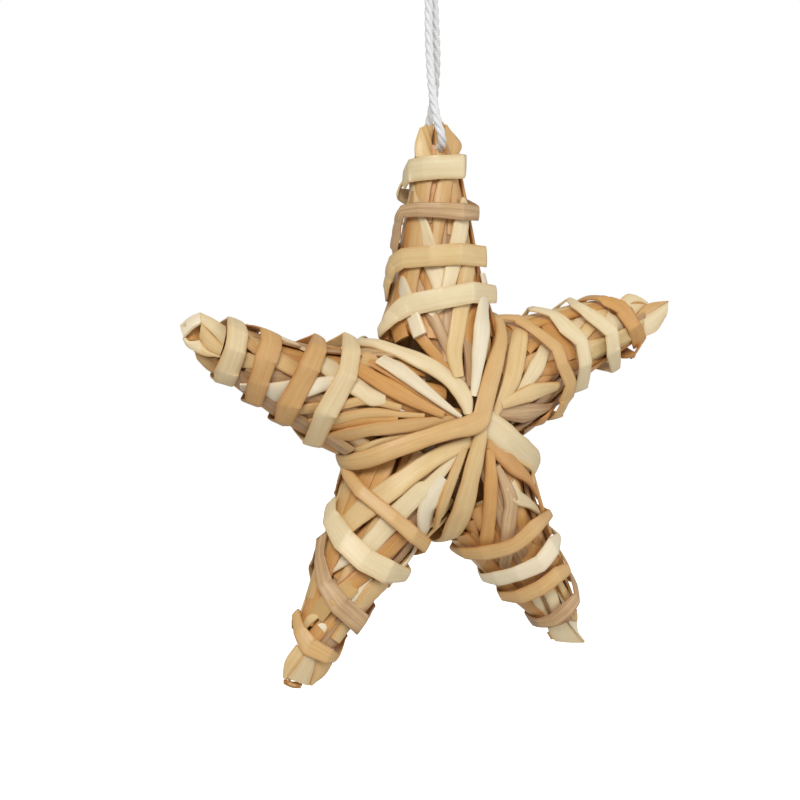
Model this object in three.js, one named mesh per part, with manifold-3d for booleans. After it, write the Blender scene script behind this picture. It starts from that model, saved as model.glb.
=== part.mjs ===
// Straw star ornament: a puffed five-pointed star of flattened straws on a loop of twisted cord.
// Millimetres, +Z up, the front of the star towards -Y. The origin is the top of the cord's loop,
// under its knot, where a hook carries the star.
import * as THREE from "three";
import { mergeVertices } from "three/addons/utils/BufferGeometryUtils.js";
import Module from "manifold-3d";

// ---------------------------------------------------------------- driving dimensions
const starCentre = new THREE.Vector3(1.1, 0, -88);
const clearance = 0.25; // between one piece and the next that lies on it
const weld = -0.6; // the same, where straws of one bundle are pressed into each other
const strawThickness = 0.65;
const creaseStrawWidth = 4.2;
const creaseStrawThickness = 1;
const bindingWidth = 4.1;
const bindingThickness = 0.5;
const bindingTaper = 0.2; // an arm's radius grows by this for each millimetre towards the centre
const bindingFacets = 8; // flat runs between creases in one turn
const tipThickness = 0.9;
const stationStep = 3.8; // between the cross-sections of a straw
const bundleStep = 5.5; // the same, in the bundles behind
const bundleThickness = 0.9;
const cordDiameter = 1.8;

// The hollow that the straws are laid over: its radius about an arm's line, by distance from the centre.
const bodyRadius = [
  [0, 8.8],
  [10, 9],
  [17, 8.6],
  [20, 7.7],
  [25, 5.8],
  [34, 4.2],
  [44, 2.9],
  [52, 1.8],
  [58, 1.1],
  [68, 0.7],
];

const backSwell = 1.8; // the hollow is this much deeper behind, where fewer straws lie on it

// How far in front of the star's plane a straw in a crease lies, by distance from the centre.
const notchRadius = 24.4;
const creaseDepth = [
  [0, 13],
  [10, 10.5],
  [18, 7],
  [notchRadius, 3.2],
];
const creaseStart = 4.2; // from the peak to the ends of the straws that stop short of it

const tones = {
  white: 0xece3d2,
  cream: 0xe3d3a8,
  honey: 0xd9bd84,
  tan: 0xcfa86c,
  orange: 0xc99a58,
  brown: 0xb8966f,
};

// An arm: the angle of its tip from +X in degrees, its length, and how far its middle bows sideways.
// A straw: name, tone, width, then its route as [distance along the arm, angle round the arm].
// 0 degrees round the arm faces the front, and a growing angle turns clockwise from the tip's side.
// A binding's turn: distance along the arm at -75, 0 and +75 degrees, from the tip inwards.
const arms = [
  {
    name: "top",
    angle: 90,
    length: 61,
    bow: -0.5,
    wedge: [35, 35.1],
    straws: [
      ["grained_rising", "tan", 4.2, [34, -40], [52.5, 0]],
      ["brown_falling", "brown", 3.4, [6.4, -3], [30.8, -85], [35, -98]],
      ["orange_inner", "orange", 3.2, [7, -11], [24.4, -73], [31, -104]],
      ["cream_falling", "cream", 4.4, [22, -20], [50, -95]],
      ["cream_rising", "cream", 3.2, [20, -36], [41.7, 20], [49, 44]],
      ["tan_rising", "honey", 3.2, [9, -21], [32.2, 24], [45, 50]],
      ["white_right", "white", 3.2, [6, 0], [32, 55], [37, 66]],
      ["white_cut", "white", 2.9, [17.7, -51], [32, -102], [38, -124]],
    ],
    turns: [
      [51, 51.3, 51.7],
      [42.2, 42.4, 42],
      [33.3, 33.5, 33.2],
      [24.5, 25, 25.5],
    ],
    tip: { folds: [[-1, -5, 3.3, 59.2], [2, 3.7, 5.2, 60.8]], start: 46 },
  },
  {
    name: "right",
    angle: 20,
    length: 64,
    bow: -1.7,
    wedge: [35.1, 37.1],
    straws: [
      ["cream_upper", "cream", 3.8, [22, -58], [51, -48]],
      ["orange_middle", "orange", 3.8, [23, -24], [53, -12]],
      ["honey_lower", "honey", 3.8, [27, 12], [53, 24]],
      ["cream_rising", "cream", 3.2, [10.8, -2], [24.6, -29], [36, -58]],
      ["honey_rising", "honey", 4.2, [8.3, -1], [23.7, -69], [26, -86]],
      ["pink_grained", "brown", 3.6, [4, -2], [23, 56], [28, 70]],
      ["honey_level", "honey", 3.3, [7.6, 0], [26.2, 25], [38, 44]],
    ],
    turns: [
      [43.5, 47.5, 51.5],
      [37.5, 41.3, 43],
      [29.5, 31.8, 33],
      [23.5, 24.6, 24.5],
    ],
    tip: { folds: [[-2.6, -1.2, 4.6, 61.5], [2.4, 0.6, 4.8, 63.6]], start: 47 },
  },
  {
    name: "lower_right",
    angle: -54.5,
    length: 62.5,
    bow: 2.2,
    wedge: [37.1, 35.3],
    straws: [
      ["tan_middle", "tan", 4, [24, -8], [52, 20]],
      ["tan_outer", "orange", 3.8, [23, 58], [49, 74]],
      ["cream_outer", "cream", 3.8, [30, -40], [52, -22]],
      ["cream_short", "cream", 3.3, [14, -4], [29, -38], [33, -46]],
      ["orange_rising", "orange", 3.4, [8.3, -1], [25.5, -57], [29, -70]],
      ["brown_striped", "brown", 2.9, [11.9, -2], [20, 7], [32.1, 48], [38, 62]],
      ["orange_falling", "orange", 2.5, [7.3, 0], [30.4, 71], [35, 86]],
    ],
    turns: [
      [51, 49.3, 49],
      [43, 41.2, 41],
      [35.5, 34.2, 33],
      [26.3, 26, 25],
    ],
    tip: { folds: [[2.4, 2.6, 4.6, 60], [-1.8, 0.2, 5, 62]], start: 46 },
  },
  {
    name: "lower_left",
    angle: -125,
    length: 63.5,
    bow: 1,
    wedge: [35.3, 37.4],
    straws: [
      ["orange_flank", "orange", 3.8, [23, 74], [46, 84]],
      ["cream_tip_side", "honey", 3.6, [36, 4], [51, 40]],
      ["tan_lower", "tan", 3.6, [28, -26], [46.2, 39], [50, 52]],
      ["cream_flank", "white", 4.2, [13, -22], [35, -62]],
      ["tan_crossing", "orange", 3.3, [20, -24], [35.1, 9], [45, 34]],
      ["cream_thin", "honey", 2.2, [7.1, -8], [22, -49], [24, -56]],
      ["cream_crossing", "cream", 3.7, [8.8, -2], [33.7, 24], [44, 46]],
      ["honey_wide", "honey", 4.3, [5, -1], [30.8, 63], [37, 82]],
    ],
    turns: [
      [54, 55, 52],
      [47.5, 45.8, 41.5],
      [33, 34.2, 30.5],
      [26.2, 26, 24],
    ],
    tip: { folds: [[2.4, 1.4, 4.8, 62.6], [-2.4, -0.8, 4.6, 63.4]], start: 48 },
  },
  {
    name: "left",
    angle: 160,
    length: 63.5,
    bow: -3.8,
    wedge: [37.4, 35],
    straws: [
      ["tan_axis", "tan", 4, [28, 30], [54, -8]],
      ["white_lower", "white", 3.8, [26, 22], [44.6, -52], [48, -62]],
      ["cream_upper", "cream", 4.2, [17, 3], [35.5, 47], [44, 62]],
      ["grained_thin", "tan", 2.6, [14.5, 4], [29.6, -24], [38, -42]],
      ["tan_lower", "tan", 3.3, [6.9, -2], [27.5, -56], [35, -78]],
      ["tan_top", "tan", 3.2, [13, 22], [27, 78], [34, 92]],
      ["orange_long", "orange", 3.6, [8.7, 2], [28.5, 40], [36, 54]],
      ["white_cut", "white", 3.4, [4, 6], [20.8, 52]],
    ],
    turns: [
      [52, 54, 53],
      [45.5, 47.5, 46.5],
      [37, 39.9, 37],
      [28, 31, 27],
    ],
    tip: { folds: [[-2.4, -0.9, 4.8, 61.8], [2.4, 0.9, 4.8, 63.2]], start: 47 },
  },
];

// The plainer straws of every arm's back, pressed into one bundle: width, then the route.
const backStraws = [
  [4.2, [23, 126], [50, 150]],
  [4.2, [23, 234], [50, 210]],
  [4.2, [14, 176], [52, 184]],
  [3.6, [8, 172], [38, 122]],
  [3.6, [9, 188], [38, 238]],
];

const radians = THREE.MathUtils.degToRad;
const lerp = THREE.MathUtils.lerp;

function valueAlong(points, x) {
  if (x <= points[0][0]) return points[0][1];
  for (let i = 1; i < points.length; i++) {
    const [x0, y0] = points[i - 1];
    const [x1, y1] = points[i];
    if (x <= x1) return lerp(y0, y1, (x - x0) / (x1 - x0));
  }
  return points[points.length - 1][1];
}

// ---------------------------------------------------------------- an arm's own frame
// A point in it is (along, side, depth): along the arm's line, sideways in the star's plane, and
// to the front. The line bows sideways between the centre and the tip.
function toStar(arm, p) {
  const share = p.x / arm.length;
  const side = p.y + arm.bow * 4 * share * (1 - share);
  const a = radians(arm.angle);
  return new THREE.Vector3(
    starCentre.x + Math.cos(a) * p.x + Math.sin(a) * side,
    starCentre.y - p.z,
    starCentre.z + Math.sin(a) * p.x - Math.cos(a) * side,
  );
}

// ---------------------------------------------------------------- how far out an arm is built
// A grid over (distance along the arm, angle round it) holds the radius reached so far.
class Shell {
  constructor() {
    this.alongStep = 0.5;
    this.angleStep = 3;
    this.rows = 140;
    this.columns = 360 / this.angleStep;
    this.radius = new Float32Array(this.rows * this.columns);
    this.owner = new Array(this.radius.length).fill(null);
    for (let i = 0; i < this.radius.length; i++) {
      const along = Math.floor(i / this.columns) * this.alongStep;
      const behind = Math.max(0, -Math.cos(radians((i % this.columns) * this.angleStep)));
      const swell = backSwell * behind * Math.max(0, 1 - along / 50);
      this.radius[i] = valueAlong(bodyRadius, along) + swell - clearance;
    }
  }
  cell(along, degrees) {
    const row = Math.min(this.rows - 1, Math.max(0, Math.round(along / this.alongStep)));
    const column = Math.round(degrees / this.angleStep) % this.columns;
    return row * this.columns + (column + this.columns) % this.columns;
  }
  // The radius that a piece of this owner has to keep there.
  reach(along, degrees, owner) {
    const i = this.cell(along, degrees);
    return this.radius[i] + (owner && this.owner[i] === owner ? weld : clearance);
  }
  cover(p, owner) {
    const i = this.cell(p.x, THREE.MathUtils.radToDeg(Math.atan2(p.y, p.z)));
    const r = Math.hypot(p.y, p.z);
    if (r > this.radius[i]) {
      this.radius[i] = r;
      this.owner[i] = owner;
    }
  }
  // How far out the arm reaches in a direction round it, over a stretch of its length.
  support(from, to, degrees, at) {
    let most = 0;
    for (let along = from; along <= to; along += this.alongStep)
      for (let turn = -75; turn <= 75; turn += this.angleStep) {
        const r = this.radius[this.cell(along, degrees + turn)];
        most = Math.max(most, r * Math.cos(radians(turn)) + bindingTaper * (along - at));
      }
    return most + clearance;
  }
  // The depth in front of the star's plane (or behind it, with side -1) that clears a strip.
  depthOver(along, middle, halfWidth, side, owner) {
    let most = 0.7;
    for (let degrees = 0; degrees < 360; degrees += this.angleStep) {
      const i = this.cell(along, degrees);
      const across = this.radius[i] * Math.sin(radians(degrees));
      const depth = this.radius[i] * Math.cos(radians(degrees)) * side;
      if (Math.abs(across - middle) > halfWidth + clearance) continue;
      // Two folds of one tip lie level and grow into each other.
      most = Math.max(most, depth + (this.owner[i] === owner ? -tipThickness : clearance));
    }
    return most;
  }
}

// ---------------------------------------------------------------- ribbons
// A flattened straw's cross-section: share of the half width, share of the thickness.
const strawSection = [
  [-1, 0.5],
  [-0.62, 0],
  [0.62, 0],
  [1, 0.5],
  [0.62, 1],
  [-0.62, 1],
];
const bandSection = [
  [-1, 0],
  [1, 0],
  [1, 1],
  [-1, 1],
];

function closedLoft(rings) {
  const sides = rings[0].length;
  const positions = rings.flat().flatMap((p) => [p.x, p.y, p.z]);
  const index = [];
  for (let i = 0; i + 1 < rings.length; i++)
    for (let j = 0; j < sides; j++) {
      const next = (j + 1) % sides;
      const [a, b, c, d] = [i * sides + j, i * sides + next, (i + 1) * sides + j, (i + 1) * sides + next];
      index.push(a, c, b, b, c, d);
    }
  const last = (rings.length - 1) * sides;
  for (let j = 1; j + 1 < sides; j++) {
    index.push(0, j, j + 1);
    index.push(last, last + j + 1, last + j);
  }
  const geometry = new THREE.BufferGeometry();
  geometry.setAttribute("position", new THREE.Float32BufferAttribute(positions, 3));
  geometry.setIndex(index);
  return facingOut(geometry);
}

function facingOut(geometry) {
  const position = geometry.getAttribute("position");
  const index = geometry.getIndex().array;
  const [a, b, c] = [new THREE.Vector3(), new THREE.Vector3(), new THREE.Vector3()];
  let volume = 0;
  for (let i = 0; i < index.length; i += 3) {
    a.fromBufferAttribute(position, index[i]);
    b.fromBufferAttribute(position, index[i + 1]);
    c.fromBufferAttribute(position, index[i + 2]);
    volume += a.dot(b.cross(c));
  }
  if (volume < 0)
    for (let i = 0; i < index.length; i += 3) [index[i + 1], index[i + 2]] = [index[i + 2], index[i + 1]];
  return geometry;
}

// Stations hold a point under the ribbon's middle, the direction across it and the one out of it.
function ribbon(stations, width, thickness, section, place) {
  return closedLoft(
    stations.map((s) =>
      section.map(([across, out]) =>
        place(
          s.point
            .clone()
            .addScaledVector(s.across, (across * width) / 2)
            .addScaledVector(s.out, out * thickness),
        ),
      ),
    ),
  );
}

// Calls visit(point, out, share, i) over the underside between station i and the next.
function overUnderside(stations, halfWidth, step, visit) {
  for (let i = 0; i + 1 < stations.length; i++) {
    const [a, b] = [stations[i], stations[i + 1]];
    const runs = Math.ceil(a.point.distanceTo(b.point) / step);
    for (let j = 0; j <= runs; j++) {
      const share = j / runs;
      const middle = a.point.clone().lerp(b.point, share);
      const across = a.across.clone().lerp(b.across, share);
      const out = a.out.clone().lerp(b.out, share);
      const lanes = Math.ceil(halfWidth / step);
      for (let k = -lanes; k <= lanes; k++)
        visit(middle.clone().addScaledVector(across, (k / lanes) * halfWidth), out, share, i);
    }
  }
}

// ---------------------------------------------------------------- straws laid round an arm
function pointRound(along, degrees, radius) {
  return new THREE.Vector3(along, radius * Math.sin(radians(degrees)), radius * Math.cos(radians(degrees)));
}

// Points every half millimetre along straight chords between the route's points.
function routeSamples(route) {
  const samples = [];
  for (let i = 0; i + 1 < route.length; i++) {
    const [a, b] = [route[i], route[i + 1]].map(([along, degrees]) =>
      pointRound(along, degrees, valueAlong(bodyRadius, along) + 1),
    );
    const runs = Math.ceil(a.distanceTo(b) / 0.5);
    for (let j = i ? 1 : 0; j <= runs; j++) {
      const p = a.clone().lerp(b, j / runs);
      samples.push({ along: p.x, degrees: THREE.MathUtils.radToDeg(Math.atan2(p.y, p.z)) });
    }
  }
  return samples;
}

// Between the creases at its two sides an arm has this much room sideways.
function insideWedge(arm, along, side) {
  const share = along / arm.length;
  const v = side + arm.bow * 4 * share * (1 - share);
  const room = along * Math.tan(radians(v < 0 ? arm.wedge[0] : arm.wedge[1])) - 0.35;
  return Math.abs(v) < room;
}

function layStraw(arm, shell, route, width, owner) {
  const [section, thickness, step] = owner
    ? [bandSection, bundleThickness, bundleStep]
    : [strawSection, strawThickness, stationStep];
  let samples = routeSamples(route);
  const clear = (s) => {
    const r = valueAlong(bodyRadius, s.along) + 3.2;
    const middle = r * Math.sin(radians(s.degrees));
    const half = (width / 2) * Math.abs(Math.cos(radians(s.degrees)));
    return insideWedge(arm, s.along, middle - half) && insideWedge(arm, s.along, middle + half);
  };
  while (samples.length > 12 && !clear(samples[0])) samples = samples.slice(1);
  const count = Math.max(3, Math.round((samples.length * 0.5) / step) + 1);
  const stations = [];
  for (let i = 0; i < count; i++) {
    const at = Math.round((i / (count - 1)) * (samples.length - 1));
    const [before, here, after] = [
      samples[Math.max(0, at - 3)],
      samples[at],
      samples[Math.min(samples.length - 1, at + 3)],
    ];
    const radius = shell.reach(here.along, here.degrees, owner);
    const slope = Math.atan2(radians(after.degrees - before.degrees) * radius, after.along - before.along);
    stations.push({ along: here.along, degrees: here.degrees, radius, slope });
  }
  const place = () => {
    for (const s of stations) {
      const around = new THREE.Vector3(0, Math.cos(radians(s.degrees)), -Math.sin(radians(s.degrees)));
      s.point = pointRound(s.along, s.degrees, s.radius);
      s.out = pointRound(0, s.degrees, 1);
      s.across = around.multiplyScalar(Math.cos(s.slope)).add(new THREE.Vector3(-Math.sin(s.slope), 0, 0));
    }
  };
  for (let pass = 0; pass < 10; pass++) {
    place();
    const rise = new Array(count).fill(0);
    overUnderside(stations, width / 2 + 0.25, 0.45, (p, out, share, i) => {
      const degrees = THREE.MathUtils.radToDeg(Math.atan2(p.y, p.z));
      const need = shell.reach(p.x, degrees, owner) - Math.hypot(p.y, p.z);
      if (need <= 0) return;
      const sum = share * share + (1 - share) * (1 - share);
      rise[i] = Math.max(rise[i], (need * (1 - share)) / sum);
      rise[i + 1] = Math.max(rise[i + 1], (need * share) / sum);
    });
    stations.forEach((s, i) => (s.radius += rise[i]));
    // A straw is stiff, so it bridges the dips between the straws that it crosses.
    if (pass < 6)
      for (let i = 1; i + 1 < count; i++)
        stations[i].radius = Math.max(
          stations[i].radius,
          (stations[i - 1].radius + stations[i + 1].radius) / 2 - 0.1,
        );
  }
  place();
  overUnderside(stations, width / 2, 0.25, (p, out) =>
    shell.cover(p.clone().addScaledVector(out, thickness), owner),
  );
  return ribbon(stations, width, thickness, section, (p) => toStar(arm, p));
}

// ---------------------------------------------------------------- folded tips
// A broad straw runs out along the front, folds over the tip and comes back behind.
function miteredStations(line, across) {
  return line.map((point, i) => {
    const before = line[Math.max(0, i - 1)];
    const after = line[Math.min(line.length - 1, i + 1)];
    const first = point.clone().sub(before).normalize();
    const second = after.clone().sub(point).normalize();
    const run = first.clone().add(second).normalize();
    const out = new THREE.Vector3().crossVectors(run, across).normalize();
    const straight = first.lengthSq() && second.lengthSq() ? Math.max(0.5, first.dot(run)) : 1;
    return { point, across: across.clone(), out: out.divideScalar(straight) };
  });
}

function tipFold(arm, shell, [startSide, endSide, width, reach], start, owner) {
  const alongs = [];
  for (let i = 0; i <= 4; i++) alongs.push(lerp(start, reach - 1.2, i / 4));
  const half = width / 2;
  const line = (side) =>
    alongs.map((along, i) => {
      const middle = lerp(startSide, endSide, i / 4);
      let depth = 0;
      for (let back = -2.2; back <= 2.2; back += 0.5)
        depth = Math.max(depth, shell.depthOver(along + back, middle, half, side, owner));
      return new THREE.Vector3(along, middle, depth * side);
    });
  const [front, back] = [line(1), line(-1)];
  const end = new THREE.Vector3(reach, endSide, 0);
  const points = [...front, end, ...back.reverse()];
  const stations = miteredStations(points, new THREE.Vector3(0, 1, 0));
  for (const s of stations) if (s.out.dot(new THREE.Vector3(s.point.x - start + 2, 0, s.point.z * 3)) < 0) s.out.negate();
  overUnderside(stations, half, 0.25, (p, out) =>
    shell.cover(p.clone().addScaledVector(out, tipThickness), owner),
  );
  return ribbon(stations, width, tipThickness, bandSection, (p) => toStar(arm, p));
}

// ---------------------------------------------------------------- bindings
// One flat straw wound round the arm: flat runs that touch the straws below, with a crease between.
function binding(arm, shell) {
  const knots = [];
  arm.turns.forEach(([low, middle, high], turn) => {
    knots.push([360 * turn - 75, high], [360 * turn, middle], [360 * turn + 75, low]);
  });
  const step = 360 / bindingFacets;
  const first = -135;
  const facets = [];
  for (let wound = first; wound <= 360 * (arm.turns.length - 1) + 135; wound += step) {
    const along = valueAlong(knots, wound);
    const drift = Math.abs(valueAlong(knots, wound + step / 2) - valueAlong(knots, wound - step / 2)) / 2;
    const reach = bindingWidth / 2 + drift + 0.6;
    const support = shell.support(along - reach, along + reach, -wound, along);
    facets.push({ wound, along, support });
  }
  const corner = (a, b, along, lift) => {
    const [ha, hb] = [a, b].map((f) => f.support - bindingTaper * (along - f.along) + lift);
    const [ta, tb] = [a, b].map((f) => radians(-f.wound));
    const spread = Math.sin(tb - ta);
    return new THREE.Vector3(
      along,
      (hb * Math.cos(ta) - ha * Math.cos(tb)) / spread,
      (ha * Math.sin(tb) - hb * Math.sin(ta)) / spread,
    );
  };
  const rings = [];
  for (let i = 0; i + 1 < facets.length; i++) {
    const [a, b] = [facets[i], facets[i + 1]];
    const along = valueAlong(knots, (a.wound + b.wound) / 2);
    rings.push(
      bandSection.map(([across, out]) =>
        toStar(arm, corner(a, b, along + (across * bindingWidth) / 2, out * bindingThickness)),
      ),
    );
  }
  return closedLoft(rings);
}

// ---------------------------------------------------------------- creases between the arms
// A straw lies in each crease from the peak outwards, turns round the notch and comes back behind.
class DepthMap {
  constructor() {
    this.step = 0.25;
    this.half = 34;
    this.size = Math.round((2 * this.half) / this.step) + 1;
    this.front = new Float32Array(this.size * this.size).fill(-Infinity);
    this.back = new Float32Array(this.size * this.size).fill(-Infinity);
  }
  add(geometry) {
    const position = geometry.getAttribute("position");
    const index = geometry.getIndex().array;
    const corner = (i) => {
      const x = position.getX(index[i]) - starCentre.x;
      const z = position.getZ(index[i]) - starCentre.z;
      return [(x + this.half) / this.step, (z + this.half) / this.step, position.getY(index[i])];
    };
    for (let i = 0; i < index.length; i += 3) this.#fill(corner(i), corner(i + 1), corner(i + 2));
  }
  #fill(a, b, c) {
    const area = (b[0] - a[0]) * (c[1] - a[1]) - (c[0] - a[0]) * (b[1] - a[1]);
    if (Math.abs(area) < 1e-9) return;
    const limits = [0, 1].map((k) => [
      Math.max(0, Math.ceil(Math.min(a[k], b[k], c[k]) - 0.5)),
      Math.min(this.size - 1, Math.floor(Math.max(a[k], b[k], c[k]) + 0.5)),
    ]);
    for (let x = limits[0][0]; x <= limits[0][1]; x++)
      for (let z = limits[1][0]; z <= limits[1][1]; z++) {
        const u = ((x - a[0]) * (c[1] - a[1]) - (c[0] - a[0]) * (z - a[1])) / area;
        const v = ((b[0] - a[0]) * (z - a[1]) - (x - a[0]) * (b[1] - a[1])) / area;
        const margin = 0.15;
        if (u < -margin || v < -margin || u + v > 1 + margin) continue;
        const y = a[2] + Math.min(1, Math.max(0, u)) * (b[2] - a[2]) + Math.min(1, Math.max(0, v)) * (c[2] - a[2]);
        const i = x * this.size + z;
        this.front[i] = Math.max(this.front[i], -y);
        this.back[i] = Math.max(this.back[i], y);
      }
  }
  at(layer, x, z) {
    const i = Math.round((x + this.half) / this.step) * this.size + Math.round((z + this.half) / this.step);
    return this[layer][i] ?? -Infinity;
  }
  // The nearest place past the notch where a straw of this width finds room to turn behind.
  roomPastNotch(angle, halfWidth) {
    const [dx, dz] = [Math.cos(radians(angle)), Math.sin(radians(angle))];
    let open = 0;
    for (let r = notchRadius; r < this.half; r += this.step) {
      open += this.step;
      for (let s = -halfWidth; s <= halfWidth; s += this.step)
        if (this.at("front", dx * r - dz * s, dz * r + dx * s) > -Infinity) open = 0;
      if (open > creaseStrawThickness + 2 * clearance) return r - creaseStrawThickness - clearance;
    }
    return this.half;
  }
}

// The underside's stations along a line in the star's plane, as deep as what lies under it asks.
function settledLine(map, layer, line, halfWidth) {
  const side = layer === "front" ? -1 : 1;
  const stations = line.map(({ x, z, across }) => ({
    point: new THREE.Vector3(x, valueAlong(creaseDepth, Math.hypot(x, z)), z),
    across,
    out: new THREE.Vector3(0, 1, 0),
  }));
  for (let pass = 0; pass < 12; pass++) {
    const rise = stations.map(() => 0);
    overUnderside(stations, halfWidth + 0.2, 0.3, (p, out, share, i) => {
      const need = map.at(layer, p.x, p.z) + clearance + 0.05 - p.y;
      if (need <= 0) return;
      const sum = share * share + (1 - share) * (1 - share);
      rise[i] = Math.max(rise[i], (need * (1 - share)) / sum);
      rise[i + 1] = Math.max(rise[i + 1], (need * share) / sum);
    });
    stations.forEach((s, i) => (s.point.y += rise[i]));
    if (pass < 8)
      for (let i = 1; i + 1 < stations.length; i++)
        stations[i].point.y = Math.max(
          stations[i].point.y,
          (stations[i - 1].point.y + stations[i + 1].point.y) / 2 - 0.2,
        );
  }
  for (const s of stations) s.point.y *= side;
  return stations;
}

function creaseLine(map, angle, inner, width) {
  const outer = map.roomPastNotch(angle, width / 2 + clearance);
  const [dx, dz] = [Math.cos(radians(angle)), Math.sin(radians(angle))];
  const count = Math.round((outer - inner) / stationStep) + 1;
  const line = [];
  for (let i = 0; i < count; i++) {
    const r = lerp(inner, outer, i / (count - 1));
    line.push({ x: dx * r, z: dz * r, across: new THREE.Vector3(-dz, 0, dx) });
  }
  return line;
}

// legs: the creases that the straw lies in; two legs meet over the front's peak.
function creaseStraw(map, legs, inner, width) {
  const lines = legs.map((angle) => creaseLine(map, angle, inner, width));
  const half = width / 2;
  const backs = lines.map((line) => {
    const kept = line.filter(({ x, z }) => Math.hypot(x, z) > creaseStart - 0.1);
    return settledLine(map, "back", kept, half);
  });
  let front;
  let turned;
  if (lines.length === 1) {
    front = settledLine(map, "front", lines[0], half);
    turned = [...front, ...backs[0].reverse()];
  } else {
    const [a, b] = lines;
    const flipped = b.map((s) => ({ ...s, across: s.across.clone().negate() }));
    const peak = { x: 0, z: 0, across: a[0].across.clone().sub(b[0].across).normalize() };
    front = settledLine(map, "front", [...a.slice().reverse(), peak, ...flipped], half);
    for (const s of backs[1]) s.across.negate();
    turned = [...backs[0], ...front, ...backs[1].reverse()];
  }
  const points = turned.map((s) => s.point);
  turned.forEach((s, i) => {
    const before = points[Math.max(0, i - 1)];
    const after = points[Math.min(points.length - 1, i + 1)];
    const first = s.point.clone().sub(before).normalize();
    const second = after.clone().sub(s.point).normalize();
    const run = first.clone().add(second).normalize();
    const mitre = first.lengthSq() && second.lengthSq() ? Math.max(0.6, first.dot(run)) : 1;
    s.out = new THREE.Vector3().crossVectors(run, s.across).normalize().divideScalar(mitre);
    const outward = new THREE.Vector3(s.point.x, 0, s.point.z).multiplyScalar(0.2);
    outward.y = s.point.y;
    if (s.out.dot(outward) < 0) s.out.negate();
  });
  const place = (p) => p.add(starCentre);
  return ribbon(turned, width, creaseStrawThickness, strawSection, place);
}

// ---------------------------------------------------------------- the pieces together
const wasm = await Module();
wasm.setup();

function fused(geometries) {
  const solids = geometries.map((g) => {
    const merged = mergeVertices(g, 1e-4);
    return new wasm.Manifold(
      new wasm.Mesh({
        numProp: 3,
        vertProperties: merged.getAttribute("position").array,
        triVerts: new Uint32Array(merged.getIndex().array),
      }),
    );
  });
  const mesh = solids.reduce((whole, next) => whole.add(next)).getMesh();
  const geometry = new THREE.BufferGeometry();
  geometry.setAttribute("position", new THREE.Float32BufferAttribute(mesh.vertProperties, 3));
  geometry.setIndex(Array.from(mesh.triVerts));
  return geometry;
}

const star = new THREE.Group();

function add(name, geometry, colour) {
  const material = new THREE.MeshStandardMaterial({ color: colour, roughness: 0.55, metalness: 0 });
  const mesh = new THREE.Mesh(geometry, material);
  mesh.name = name;
  star.add(mesh);
}

const map = new DepthMap();
for (const arm of arms) {
  const shell = new Shell();
  const back = `${arm.name}_back`;
  const bundle = backStraws.map(([width, ...route]) => layStraw(arm, shell, route, width, back));
  const pieces = [[`${arm.name}_arm_back_straws`, fused(bundle), tones.honey]];
  for (const [name, tone, width, ...route] of arm.straws)
    pieces.push([`${arm.name}_arm_${name}_straw`, layStraw(arm, shell, route, width, null), tones[tone]]);
  const folds = arm.tip.folds.map((fold) => tipFold(arm, shell, fold, arm.tip.start, `${arm.name}_tip`));
  pieces.push([`${arm.name}_arm_folded_tip`, fused(folds), tones.honey]);
  pieces.push([`${arm.name}_arm_binding`, binding(arm, shell), tones.cream]);
  for (const [name, geometry, colour] of pieces) {
    add(name, geometry, colour);
    map.add(geometry);
  }
}

const creaseStraws = [
  ["right_crease_straw", [-17.3], "cream"],
  ["bottom_crease_straw", [-89.8], "honey"],
  ["upper_left_crease_straw", [125], "cream"],
  ["crease_straw_over_the_peak", [-162.5, 54.9], "tan"],
];
for (const [name, legs, tone] of creaseStraws) {
  const geometry = creaseStraw(map, legs, creaseStart, creaseStrawWidth);
  map.add(geometry);
  add(name, geometry, tones[tone]);
}

// ---------------------------------------------------------------- cord
// One length: from the knot down the front, through the eye in the top tip, and up behind.
const cordRoute = [
  [-1.1, -0.9, -0.4],
  [-1.4, -1.1, -6],
  [-1.8, -1.9, -14],
  [-2.4, -3.6, -21],
  [-2.4, -5.2, -27],
  [-1.5, -5.6, -30.5],
  [-0.3, -3.4, -32.5],
  [0.1, 0, -32.8],
  [0.5, 3.4, -32.5],
  [1.5, 5.6, -30.5],
  [2.7, 5.2, -27],
  [2.9, 3.6, -21],
  [2.3, 1.9, -14],
  [1.5, 1.1, -6],
  [1.1, 0.9, -0.4],
];

function tube(points, diameter) {
  const curve = new THREE.CatmullRomCurve3(points.map((p) => new THREE.Vector3(...p)));
  const section = new THREE.Shape();
  for (let i = 0; i < 8; i++) {
    const angle = (i / 8) * 2 * Math.PI;
    const [x, y] = [(Math.cos(angle) * diameter) / 2, (Math.sin(angle) * diameter) / 2];
    if (i) section.lineTo(x, y);
    else section.moveTo(x, y);
  }
  section.closePath();
  const steps = Math.round(curve.getLength() / (2.2 * diameter));
  return new THREE.ExtrudeGeometry(section, { steps, extrudePath: curve, bevelEnabled: false });
}
add("hanging_cord", tube(cordRoute, cordDiameter), 0xe9e7e2);

const knot = new THREE.TorusKnotGeometry(1.9, 0.85, 30, 5, 2, 3);
knot.translate(0, 0, 2.1);
add("cord_knot", knot, 0xe9e7e2);

export default star;
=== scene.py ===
import math

import bpy
import numpy as np
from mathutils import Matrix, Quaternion, Vector


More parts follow.
